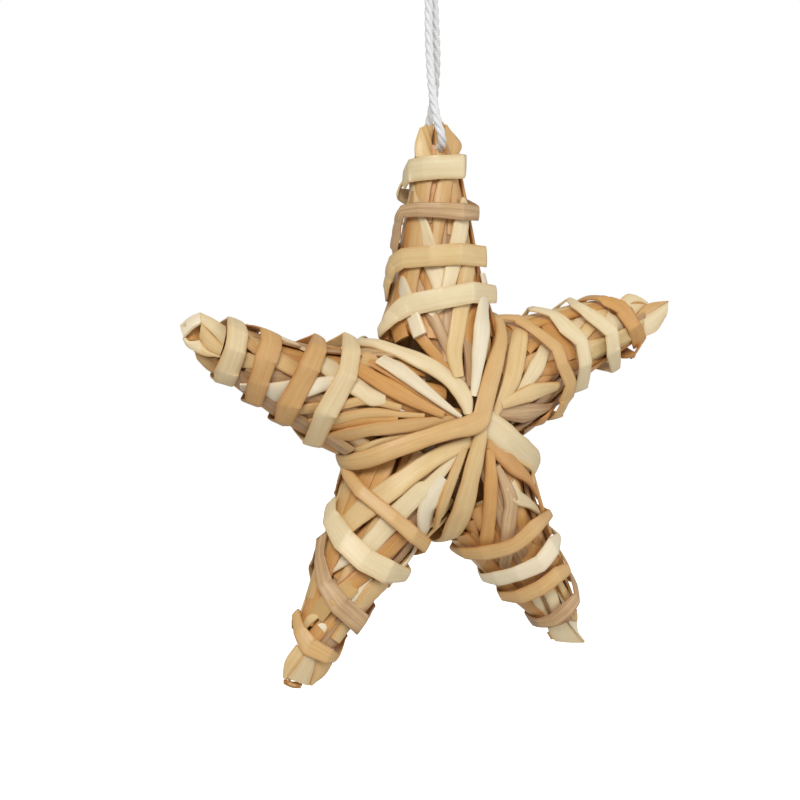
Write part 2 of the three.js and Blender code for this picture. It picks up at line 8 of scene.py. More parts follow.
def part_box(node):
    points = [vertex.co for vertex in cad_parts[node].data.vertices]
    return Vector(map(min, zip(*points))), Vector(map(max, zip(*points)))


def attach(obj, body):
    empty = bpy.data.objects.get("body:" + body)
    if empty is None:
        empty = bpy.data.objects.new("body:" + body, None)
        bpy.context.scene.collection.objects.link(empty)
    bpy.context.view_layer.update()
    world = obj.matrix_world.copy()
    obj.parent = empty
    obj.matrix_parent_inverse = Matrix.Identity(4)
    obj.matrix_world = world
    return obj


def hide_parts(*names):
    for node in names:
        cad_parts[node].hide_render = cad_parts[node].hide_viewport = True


# A straw star ornament on a loop of twisted cord. Metres, +Z up, the star's front towards -Y.
# The origin is the top of the cord's loop, under its knot.
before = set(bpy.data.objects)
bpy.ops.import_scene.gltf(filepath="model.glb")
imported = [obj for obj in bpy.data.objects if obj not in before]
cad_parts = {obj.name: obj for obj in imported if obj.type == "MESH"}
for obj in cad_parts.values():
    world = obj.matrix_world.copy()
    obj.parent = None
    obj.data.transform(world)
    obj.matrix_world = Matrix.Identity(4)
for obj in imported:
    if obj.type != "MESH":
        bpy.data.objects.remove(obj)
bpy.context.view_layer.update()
MM = 0.001

# ---------------------------------------------------------------- the view
# The star hangs turned a third of a right angle away from the viewer, who stands to its left and a
# little above its middle.
STAR_CENTRE = np.array([1.1, 0.0, -88.0]) * MM
VIEWER_FROM_CENTRE = np.array([-279.2, -418.6, 44.0]) * MM
VIEWER_ROLL = math.radians(0.6)
LENS = 109.5
SHIFT = (-0.0503, 0.0204)

camera_data = bpy.data.cameras.new("viewer")
camera_data.lens = LENS
camera_data.sensor_width = 36.0
camera_data.shift_x, camera_data.shift_y = SHIFT
camera = bpy.data.objects.new("viewer", camera_data)
bpy.context.scene.collection.objects.link(camera)
camera.location = Vector(STAR_CENTRE + VIEWER_FROM_CENTRE)
sight = Vector(-VIEWER_FROM_CENTRE).to_track_quat("-Z", "Y")
camera.rotation_mode = "QUATERNION"
roll = Vector(-VIEWER_FROM_CENTRE).normalized()
camera.rotation_quaternion = Quaternion(roll, VIEWER_ROLL) @ sight
bpy.context.scene.camera = camera


# ---------------------------------------------------------------- hanging cord
# One length of white cord of three plies. It runs from the knot down the front, through the eye in the
# top tip and up again behind, and the star's weight pulls it straight.
CORD_DIAMETER = 1.8 * MM
CORD_ROUTE = [
    (-1.1, -0.9, -0.4),
    (-1.4, -1.1, -6.0),
    (-1.8, -1.9, -14.0),
    (-2.4, -3.6, -21.0),
    (-2.4, -5.2, -27.0),
    (-1.5, -5.6, -30.5),
    (-0.3, -3.4, -32.5),
    (0.1, 0.0, -32.8),
    (0.5, 3.4, -32.5),
    (1.5, 5.6, -30.5),
    (2.7, 5.2, -27.0),
    (2.9, 3.6, -21.0),
    (2.3, 1.9, -14.0),
    (1.5, 1.1, -6.0),
    (1.1, 0.9, -0.4),
]
CORD_PLIES = 3
CORD_TWIST_LENGTH = 6.5 * MM


def unit(v):
    """The same vectors with a length of one."""
    v = np.asarray(v, float)
    return v / np.maximum(np.linalg.norm(v, axis=-1, keepdims=True), 1e-12)


def smooth_line(points, step):
    """Points every step along a centripetal curve through the given ones, and each one's place."""
    points = np.asarray(points, float)
    ends = np.vstack([2 * points[0] - points[1], points, 2 * points[-1] - points[-2]])
    line, place = [points[0]], [0.0]
    for i in range(len(points) - 1):
        p = ends[i : i + 4]
        gaps = np.maximum(np.linalg.norm(np.diff(p, axis=0), axis=1), 1e-9) ** 0.5
        t = np.concatenate([[0], np.cumsum(gaps)])
        runs = max(1, int(math.ceil(np.linalg.norm(p[2] - p[1]) / step)))
        for j in range(1, runs + 1):
            x = t[1] + (t[2] - t[1]) * j / runs
            a = [
                (t[k + 1] - x) / (t[k + 1] - t[k]) * p[k] + (x - t[k]) / (t[k + 1] - t[k]) * p[k + 1]
                for k in range(3)
            ]
            b = [
                (t[k + 2] - x) / (t[k + 2] - t[k]) * a[k] + (x - t[k]) / (t[k + 2] - t[k]) * a[k + 1]
                for k in range(2)
            ]
            line.append((t[2] - x) / (t[2] - t[1]) * b[0] + (x - t[1]) / (t[2] - t[1]) * b[1])
            place.append(i + j / runs)
    return np.array(line), np.array(place)


def runs_along(line):
    """The direction of a line at each of its points."""
    return unit(np.gradient(np.asarray(line, float), axis=0))


def carried(line, start):
    """A sideways direction taken along a line without turning about it."""
    directions = runs_along(line)
    side = np.asarray(start, float)
    sides = []
    for d in directions:
        side = unit(side - d * np.dot(side, d))
        sides.append(side)
    return np.array(sides)


def quads_between(rings, points):
    """Faces that join rings of points, laid one after another."""
    faces = []
    for i in range(rings - 1):
        for j in range(points):
            k = (j + 1) % points
            faces.append((i * points + j, i * points + k, (i + 1) * points + k, (i + 1) * points + j))
    return faces


def new_piece(name, vertices, faces, materials):
    """A mesh object that belongs to the star and rides with it."""
    mesh = bpy.data.meshes.new(name)
    mesh.from_pydata([tuple(v) for v in vertices], [], faces)
    mesh.validate()
    mesh.polygons.foreach_set("use_smooth", [True] * len(mesh.polygons))
    for material in materials:
        mesh.materials.append(material)
    piece = bpy.data.objects.new(name, mesh)
    bpy.context.scene.collection.objects.link(piece)
    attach(piece, "root")
    return piece


def add_node(tree, kind, settings=None, **inputs):
    """A shader node. An input is a value, or another node's output to link."""
    made = tree.nodes.new(kind)
    for key, value in (settings or {}).items():
        setattr(made, key, value)
    for key, value in inputs.items():
        socket = made.inputs[int(key[1:])] if key[1:].isdigit() else made.inputs[key.replace("_", " ")]
        if isinstance(value, bpy.types.NodeSocket):
            tree.links.new(value, socket)
        else:
            socket.default_value = value
    return made


def new_material(name):
    """A material with only a Principled shader, and its node tree and shader."""
    material = bpy.data.materials.new(name)
    material.use_nodes = True
    tree = material.node_tree
    return material, tree, tree.nodes["Principled BSDF"]


def cord_material():
    """White yarn with fine fibres along each ply."""
    material, tree, shader = new_material("white_twisted_cord")
    space = add_node(tree, "ShaderNodeAttribute", {"attribute_name": "yarn"})
    along_ply = {"_0": space.outputs["Vector"], "_1": (0.5, 6.0, 1.0)}
    yarn = add_node(tree, "ShaderNodeVectorMath", {"operation": "MULTIPLY"}, **along_ply)
    fibres = add_node(tree, "ShaderNodeTexNoise", Vector=yarn.outputs[0], Scale=2.2, Detail=3.0)
    shade = add_node(tree, "ShaderNodeMix", {"data_type": "RGBA"}, Factor=fibres.outputs["Fac"])
    shade.inputs[6].default_value = (0.73, 0.725, 0.715, 1.0)
    shade.inputs[7].default_value = (0.9, 0.9, 0.9, 1.0)
    relief = {"Strength": 0.35, "Distance": 0.00012, "Height": fibres.outputs["Fac"]}
    bump = add_node(tree, "ShaderNodeBump", **relief)
    tree.links.new(shade.outputs[2], shader.inputs["Base Color"])
    tree.links.new(bump.outputs["Normal"], shader.inputs["Normal"])
    shader.inputs["Roughness"].default_value = 0.5
    shader.inputs["Sheen Weight"].default_value = 0.25
    shader.inputs["Sheen Roughness"].default_value = 0.4
    return material


def twisted_cord(name, line, diameter, plies, twist_length, start_side, material):
    """Plies wound round each other along a line, as one mesh."""
    sides = carried(line, start_side)
    ups = np.cross(runs_along(line), sides)
    travelled = np.concatenate([[0], np.cumsum(np.linalg.norm(np.diff(line, axis=0), axis=1))])
    strand_radius = diameter * 0.27
    orbit = diameter / 2 - strand_radius
    corners = 10
    vertices, faces, space = [], [], []
    for ply in range(plies):
        first = len(vertices)
        turn = -2 * math.pi * (travelled / twist_length) + ply / plies * 2 * math.pi
        middle = line + orbit * (np.cos(turn)[:, None] * sides + np.sin(turn)[:, None] * ups)
        ply_sides = carried(middle, sides[0])
        ply_ups = np.cross(runs_along(middle), ply_sides)
        for i, m in enumerate(middle):
            for j in range(corners):
                a = 2 * math.pi * j / corners
                spoke = math.cos(a) * ply_sides[i] + math.sin(a) * ply_ups[i]
                vertices.append(m + strand_radius * spoke)
                space.append((travelled[i] / MM, j / corners, ply))
        faces += [tuple(first + v for v in f) for f in quads_between(len(line), corners)]
        last = first + (len(line) - 1) * corners
        faces.append(tuple(range(first, first + corners))[::-1])
        faces.append(tuple(range(last, last + corners)))
    piece = new_piece(name, vertices, faces, [material])
    layer = piece.data.attributes.new("yarn", "FLOAT_VECTOR", "POINT")
    layer.data.foreach_set("vector", np.array(space, float).ravel())
    return piece


white_cord = cord_material()
cord_line, _ = smooth_line(np.array(CORD_ROUTE) * MM, 0.35 * MM)
hanging_cord = twisted_cord(
    "hanging_cord_strands",
    cord_line,
    CORD_DIAMETER,
    CORD_PLIES,
    CORD_TWIST_LENGTH,
    (1, 0, 0),
    white_cord,
)
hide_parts("hanging_cord")

# The knot that closes the loop: an overhand knot, as far as it can be seen under the hook.
KNOT_RADIUS, KNOT_CORD = 1.9 * MM, 1.6 * MM
knot_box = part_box("cord_knot")
knot_centre = np.array([(a + b) / 2 for a, b in zip(*knot_box)])
knot_turn = np.linspace(0, 2 * math.pi, 121)[:-1]
knot_reach = KNOT_RADIUS * (2 + np.cos(3 * knot_turn)) * 0.5
knot_line = np.stack(
    [
        knot_reach * np.cos(2 * knot_turn),
        knot_reach * np.sin(2 * knot_turn),
        KNOT_RADIUS * 0.5 * np.sin(3 * knot_turn),
    ],
    axis=1,
)
cord_knot = twisted_cord(
    "cord_overhand_knot",
    knot_centre + knot_line,
    KNOT_CORD,
    CORD_PLIES,
    CORD_TWIST_LENGTH,
    (0, 0, 1),
    white_cord,
)
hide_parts("cord_knot")


# ---------------------------------------------------------------- straws of the arms
# Split and flattened straws laid along and across each arm. They are satin, ribbed lengthwise, and
# each one has its own colour from nearly white to a striped pinkish brown.
# The straws' colour darkens towards their edges: painted shade.
def straw_fibres():
    """Fibres and stains that run along a straw, and painted shade towards its edges: its colour,
    roughness and relief.
    """
    tree = bpy.data.node_groups.new("straw_fibres", "ShaderNodeTree")
    face = tree.interface
    for name, kind, value in (
        ("Light", "NodeSocketColor", (0.8, 0.7, 0.5, 1.0)),
        ("Dark", "NodeSocketColor", (0.5, 0.35, 0.2, 1.0)),
        ("Streaks", "NodeSocketFloat", 0.5),
        ("Stains", "NodeSocketFloat", 0.3),
        ("Edges", "NodeSocketFloat", 0.3),
        ("Gloss", "NodeSocketFloat", 0.4),
    ):
        socket = face.new_socket(name, in_out="INPUT", socket_type=kind)
        socket.default_value = value
    for name, kind in (
        ("Color", "NodeSocketColor"),
        ("Roughness", "NodeSocketFloat"),
        ("Height", "NodeSocketFloat"),
    ):
        face.new_socket(name, in_out="OUTPUT", socket_type=kind)
    given = tree.nodes.new("NodeGroupInput")
    out = tree.nodes.new("NodeGroupOutput")

    def maths(operation, a, b=0.0):
        made = add_node(tree, "ShaderNodeMath", {"operation": operation}, _0=a, _1=b)
        return made.outputs[0]

    def noise(stretch, detail):
        ends = {"_0": place.outputs["Vector"], "_1": stretch}
        space = add_node(tree, "ShaderNodeVectorMath", {"operation": "MULTIPLY"}, **ends)
        grain = {"Vector": space.outputs[0], "Scale": 1.0, "Detail": detail, "Roughness": 0.6}
        made = add_node(tree, "ShaderNodeTexNoise", **grain)
        return made.outputs["Fac"]

    place = add_node(tree, "ShaderNodeAttribute", {"attribute_name": "straw_space"})
    edge = add_node(tree, "ShaderNodeAttribute", {"attribute_name": "straw_edge"})
    fine = noise((0.11, 8.0, 3.1), 4.0)
    broad = noise((0.035, 1.5, 7.7), 2.0)
    stain = noise((0.22, 0.4, 5.3), 3.0)
    own = noise((0.0, 0.0, 11.9), 0.0)
    fine_streaks = maths("MULTIPLY", maths("SUBTRACT", fine, 0.5), 1.1)
    streaks = maths("ADD", fine_streaks, maths("SUBTRACT", broad, 0.42))
    amount = maths("MULTIPLY", streaks, given.outputs["Streaks"])
    stained = maths("MULTIPLY", maths("SUBTRACT", stain, 0.5), given.outputs["Stains"])
    # Painted shade: near each straw's edges the colour turns towards the dark tone, where the straws
    # shade one another.
    rim = maths("MULTIPLY", maths("POWER", edge.outputs["Fac"], 5.0), given.outputs["Edges"])
    whole = maths("MULTIPLY", maths("SUBTRACT", own, 0.5), 0.7)
    total = maths("ADD", maths("ADD", maths("ADD", amount, stained), maths("ADD", rim, whole)), 0.3)
    blend = add_node(
        tree, "ShaderNodeMix", {"data_type": "RGBA", "clamp_factor": True}, Factor=total
    )
    tree.links.new(given.outputs["Light"], blend.inputs[6])
    tree.links.new(given.outputs["Dark"], blend.inputs[7])
    tree.links.new(blend.outputs[2], out.inputs["Color"])
    rough = maths("ADD", given.outputs["Gloss"], maths("MULTIPLY", maths("SUBTRACT", fine, 0.5), 0.25))
    tree.links.new(rough, out.inputs["Roughness"])
    tree.links.new(maths("ADD", fine, maths("MULTIPLY", broad, 0.8)), out.inputs["Height"])
    return tree


fibres = straw_fibres()


def colour(red, green, blue):
    """A screen colour from 0 to 255 as the light it stands for."""
    return tuple(((v / 255 + 0.055) / 1.055) ** 2.4 for v in (red, green, blue)) + (1.0,)


STRAW_TONES = {
    # name: light, dark, streaks, stains, edges (painted shade at the straw's edges), gloss
    "white": (colour(250, 240, 212), colour(216, 184, 134), 0.45, 0.25, 0.3, 0.34),
    "cream": (colour(245, 230, 190), colour(212, 174, 114), 0.5, 0.35, 0.4, 0.42),
    "honey": (colour(240, 214, 158), colour(202, 150, 82), 0.5, 0.4, 0.45, 0.42),
    "tan": (colour(232, 196, 134), colour(186, 126, 62), 0.55, 0.4, 0.45, 0.44),
    "orange": (colour(228, 178, 106), colour(176, 106, 44), 0.55, 0.45, 0.4, 0.44),
    "brown": (colour(222, 188, 140), colour(150, 100, 58), 1.1, 0.4, 0.35, 0.46),
}


def straw_material(name, light, dark, streaks, stains, edges, gloss):
    """Satin straw of one tone, with the fibres' colour, painted shade at its edges, roughness and
    relief.
    """
    material, tree, shader = new_material(name)
    group = add_node(
        tree,
        "ShaderNodeGroup",
        {"node_tree": fibres},
        Light=light,
        Dark=dark,
        Streaks=streaks,
        Stains=stains,
        Edges=edges,
        Gloss=gloss,
    )
    relief = {"Strength": 0.5, "Distance": 0.00008, "Height": group.outputs["Height"]}
    bump = add_node(tree, "ShaderNodeBump", **relief)
    tree.links.new(group.outputs["Color"], shader.inputs["Base Color"])
    tree.links.new(group.outputs["Roughness"], shader.inputs["Roughness"])
    tree.links.new(bump.outputs["Normal"], shader.inputs["Normal"])
    shader.inputs["Coat Weight"].default_value = 0.12
    shader.inputs["Coat Roughness"].default_value = 0.35
    return material


straw_finish = {tone: straw_material(f"{tone}_straw", *values) for tone, values in STRAW_TONES.items()}


def seed_of(name):
    """A number of its own for each name, so that its straws are laid the same way each time."""
    return sum((i + 1) * ord(c) for i, c in enumerate(name)) % 9973


def straw_section(points, crown, thickness, squareness):
    """A flattened straw's outline: shares across, and heights in metres."""
    turn = np.linspace(0, 2 * math.pi, points, endpoint=False) + math.pi / points
    a = np.sign(np.cos(turn)) * np.abs(np.cos(turn)) ** (2 / squareness)
    h = np.sign(np.sin(turn)) * np.abs(np.sin(turn)) ** (2 / squareness)
    return a, h * thickness / 2 + crown * (1 - a**2) - crown / 2


MOST_LEAN = 0.06
LIP_SHARE, LIP_DEPTH = 0.86, 0.05 * MM
PIT_SHARE, PIT_DEPTH = 0.8, 0.5 * MM


def straw_shape(line, across, out, width, section, rng, wobble=0.03):
    """The vertices, faces, straw space and edge shares of one straw swept along a line."""
    a, h = section
    count, points = len(line), len(a)
    travelled = np.concatenate([[0], np.cumsum(np.linalg.norm(np.diff(line, axis=0), axis=1))])
    runs = runs_along(line)

    def waver(rates):
        """A few slow waves along the straw, each of its own size and phase."""
        return sum(
            rng.uniform(-1, 1) * np.sin(travelled / MM * k + rng.uniform(0, 6.28)) for k in rates
        )

    widths = np.broadcast_to(width, count) * (1 + wobble * waver((0.2, 0.45, 0.9)))
    lean = MOST_LEAN * waver((0.15, 0.4))
    rings = [
        line[i] + np.outer(a * widths[i] / 2, across[i] + out[i] * lean[i]) + np.outer(h, out[i])
        for i in range(count)
    ]
    # Each end is cut open and hollow: the rim turns in and the end's face lies a little inside.
    ends = []
    for end, inward in ((0, 1), (count - 1, -1)):
        middle = rings[end].mean(axis=0)
        lip = middle + (rings[end] - middle) * LIP_SHARE + runs[end] * inward * LIP_DEPTH
        pit = middle + (rings[end] - middle) * PIT_SHARE + runs[end] * inward * PIT_DEPTH
        ends.append([pit, lip])
    rings = ends[0] + rings + ends[1][::-1]
    places = np.concatenate([[travelled[0]] * 2, travelled, [travelled[-1]] * 2]) / MM
    vertices = np.concatenate(rings)
    faces = quads_between(len(rings), points)
    faces.append(tuple(range(points))[::-1])
    last = (len(rings) - 1) * points
    faces.append(tuple(range(last, last + points)))
    own = rng.uniform(0, 60)
    space = np.stack(
        [
            np.repeat(places, points) + own * 3,
            np.tile(a, len(rings)) * float(np.median(widths)) / 2 / MM,
            np.full(len(vertices), own),
        ],
        axis=1,
    )
    # The share across from the middle, used only to paint shade at the edges.
    edge = np.tile(np.abs(a), len(rings))
    return vertices, faces, space, edge


def straw_piece(name, shapes, materials, indices=None):
    """One object of one or more straws, with the places along and across each kept for its fibres, and
    its edge shares for the painted shade at its edges.
    """
    vertices, faces, spaces, edges, kinds = [], [], [], [], []
    first = 0
    for n, (v, f, space, edge) in enumerate(shapes):
        vertices.append(v)
        faces += [tuple(first + i for i in face) for face in f]
        kinds += [0 if indices is None else indices[n]] * len(f)
        spaces.append(space)
        edges.append(edge)
        first += len(v)
    piece = new_piece(name, np.concatenate(vertices), faces, materials)
    mesh = piece.data
    mesh.polygons.foreach_set("material_index", kinds)
    mesh.attributes.new("straw_space", "FLOAT_VECTOR", "POINT").data.foreach_set(
        "vector", np.concatenate(spaces).ravel()
    )
    mesh.attributes.new("straw_edge", "FLOAT", "POINT").data.foreach_set("value", np.concatenate(edges))
    mesh.set_sharp_from_angle(angle=math.radians(50))
    return piece


# An arm: its tip's angle, its length and how far its middle bows sideways.
ARMS = {
    "top": (90.0, 61.0, -0.5),
    "right": (20.0, 64.0, -1.7),
    "lower_right": (-54.5, 62.5, 2.2),
    "lower_left": (-125.0, 63.5, 1.0),
    "left": (160.0, 63.5, -3.8),
}
# Degrees from each arm's line to the creases on its two sides.
ROOM_TO_CREASE = {
    "top": (35.0, 35.1),
    "right": (35.1, 37.1),
    "lower_right": (37.1, 35.3),
    "lower_left": (35.3, 37.4),
    "left": (37.4, 35.0),
}
# The arms' outer radius by distance from the star's centre, and how much less it is behind.
SKIN_RADIUS = (
    (-20, 13.6), (0, 14.2), (10, 14.2), (19, 13.4), (24, 11.6), (33, 9.7),
    (43, 7.9), (51.5, 6.0), (57, 4.1), (62, 1.9), (66, 1.0),
)
LAYER = 0.9
FLATTER_BEHIND = 2.6


def skin(along, degrees):
    """How far from an arm's line its outermost straws reach."""
    behind = np.maximum(0.0, -np.cos(np.radians(degrees)))
    slimmer = FLATTER_BEHIND * behind * np.interp(along, (4, 20, 45, 60), (0, 1, 0.7, 0))
    return np.interp(along, *zip(*SKIN_RADIUS)) - slimmer


def in_star(arm, points):
    """Points given along, sideways of and in front of an arm's line, in the star's own place."""
    angle, length, bow = ARMS[arm]
    p = np.atleast_2d(np.asarray(points, float))
    share = p[:, 0] / length
    side = p[:, 1] + bow * 4 * share * (1 - share)
    a = math.radians(angle)
    x = math.cos(a) * p[:, 0] + math.sin(a) * side
    z = math.sin(a) * p[:, 0] - math.cos(a) * side
    return STAR_CENTRE + np.stack([x, -p[:, 2], z], axis=1) * MM


def round_arm(along, degrees, radius):
    """A point at a radius round an arm's line; 0 degrees is its front."""
    a = np.radians(degrees)
    return np.stack([np.asarray(along, float), radius * np.sin(a), radius * np.cos(a)], axis=-1)


def laid_on(arm, points, step=0.6):
    """A straw's line and directions through points of (along, degrees, width, layers down)."""
    p = np.array(points, float)
    radius = skin(p[:, 0], p[:, 1]) - LAYER * p[:, 3] - LAYER / 2
    flat, place = smooth_line(round_arm(p[:, 0], p[:, 1], radius), step)
    width = np.interp(place, np.arange(len(p)), p[:, 2]) * MM
    line = in_star(arm, flat)
    radial = flat * np.array([0, 1, 1])
    out = unit(in_star(arm, flat + unit(radial)) - line)
    across = unit(np.cross(runs_along(line), out))
    return line, across, unit(np.cross(across, runs_along(line))), width


# ---------------------------------------------------------------- inner straws
# Under the straws that show, each arm has a hollow core of more straws, laid side by side and
# slightly askew from the middle of the star to the tip, with another layer on its flanks and back.
INNER_STRAWS = 13
# Layers down, degrees of slant, and the stretch of degrees round the arm that a layer fills.
INNER_LAYERS = ((1.3, 6.0, 68.0, 306.0), (2.4, 14.0, 0.0, 360.0), (3.6, -14.0, 14.0, 374.0))
WIDEST_SHARE = 0.9
# The inner straws' tones lean to orange and brown. They are the straws' own colours, chosen darker and
# warmer as painted shade inside the arm.
INNER_SHADED_TONES = ("tan", "orange", "orange", "brown", "honey")


def room_for(arm, along, degrees, radius, half):
    """Whether a straw there keeps to its own side of the creases."""
    _, length, bow = ARMS[arm]
    share = along / length
    side = radius * math.sin(math.radians(degrees)) + bow * 4 * share * (1 - share)
    edge = abs(side) + half * abs(math.cos(math.radians(degrees)))
    return edge < along * math.tan(math.radians(ROOM_TO_CREASE[arm][0 if side < 0 else 1])) + 0.5


for arm in ARMS:
    rng = np.random.default_rng(seed_of(arm))
    shapes, kinds = [], []
    for layer, slant, first, last in INNER_LAYERS:
        for n in range(INNER_STRAWS):
            degrees = first + (last - first) * n / INNER_STRAWS + rng.uniform(-5, 5)
            start, end = rng.uniform(1.5, 4), rng.uniform(46, 56)
            turn = slant * rng.uniform(0.4, 2.4)
            width = rng.uniform(3.2, 4.4)
            route = [
                (along, degrees + turn * (along - start) / (end - start), width, layer)
                for along in np.linspace(start, end, 12)
            ]
            while not room_for(arm, *route[0][:2], skin(*route[0][:2]) - LAYER * layer, width / 2):
                route = route[1:]
            tapered = [(a, d, min(w, WIDEST_SHARE * float(skin(a, d))), k) for a, d, w, k in route]
            line, across, out, widths = laid_on(arm, tapered)
            section = straw_section(12, 0.15 * MM, LAYER * MM, 2.6)
            shapes.append(straw_shape(line, across, out, widths, section, rng))
            kinds.append(int(rng.integers(0, len(INNER_SHADED_TONES))))
    straw_piece(
        f"{arm}_arm_inner_straws", shapes, [straw_finish[t] for t in INNER_SHADED_TONES], kinds
    )

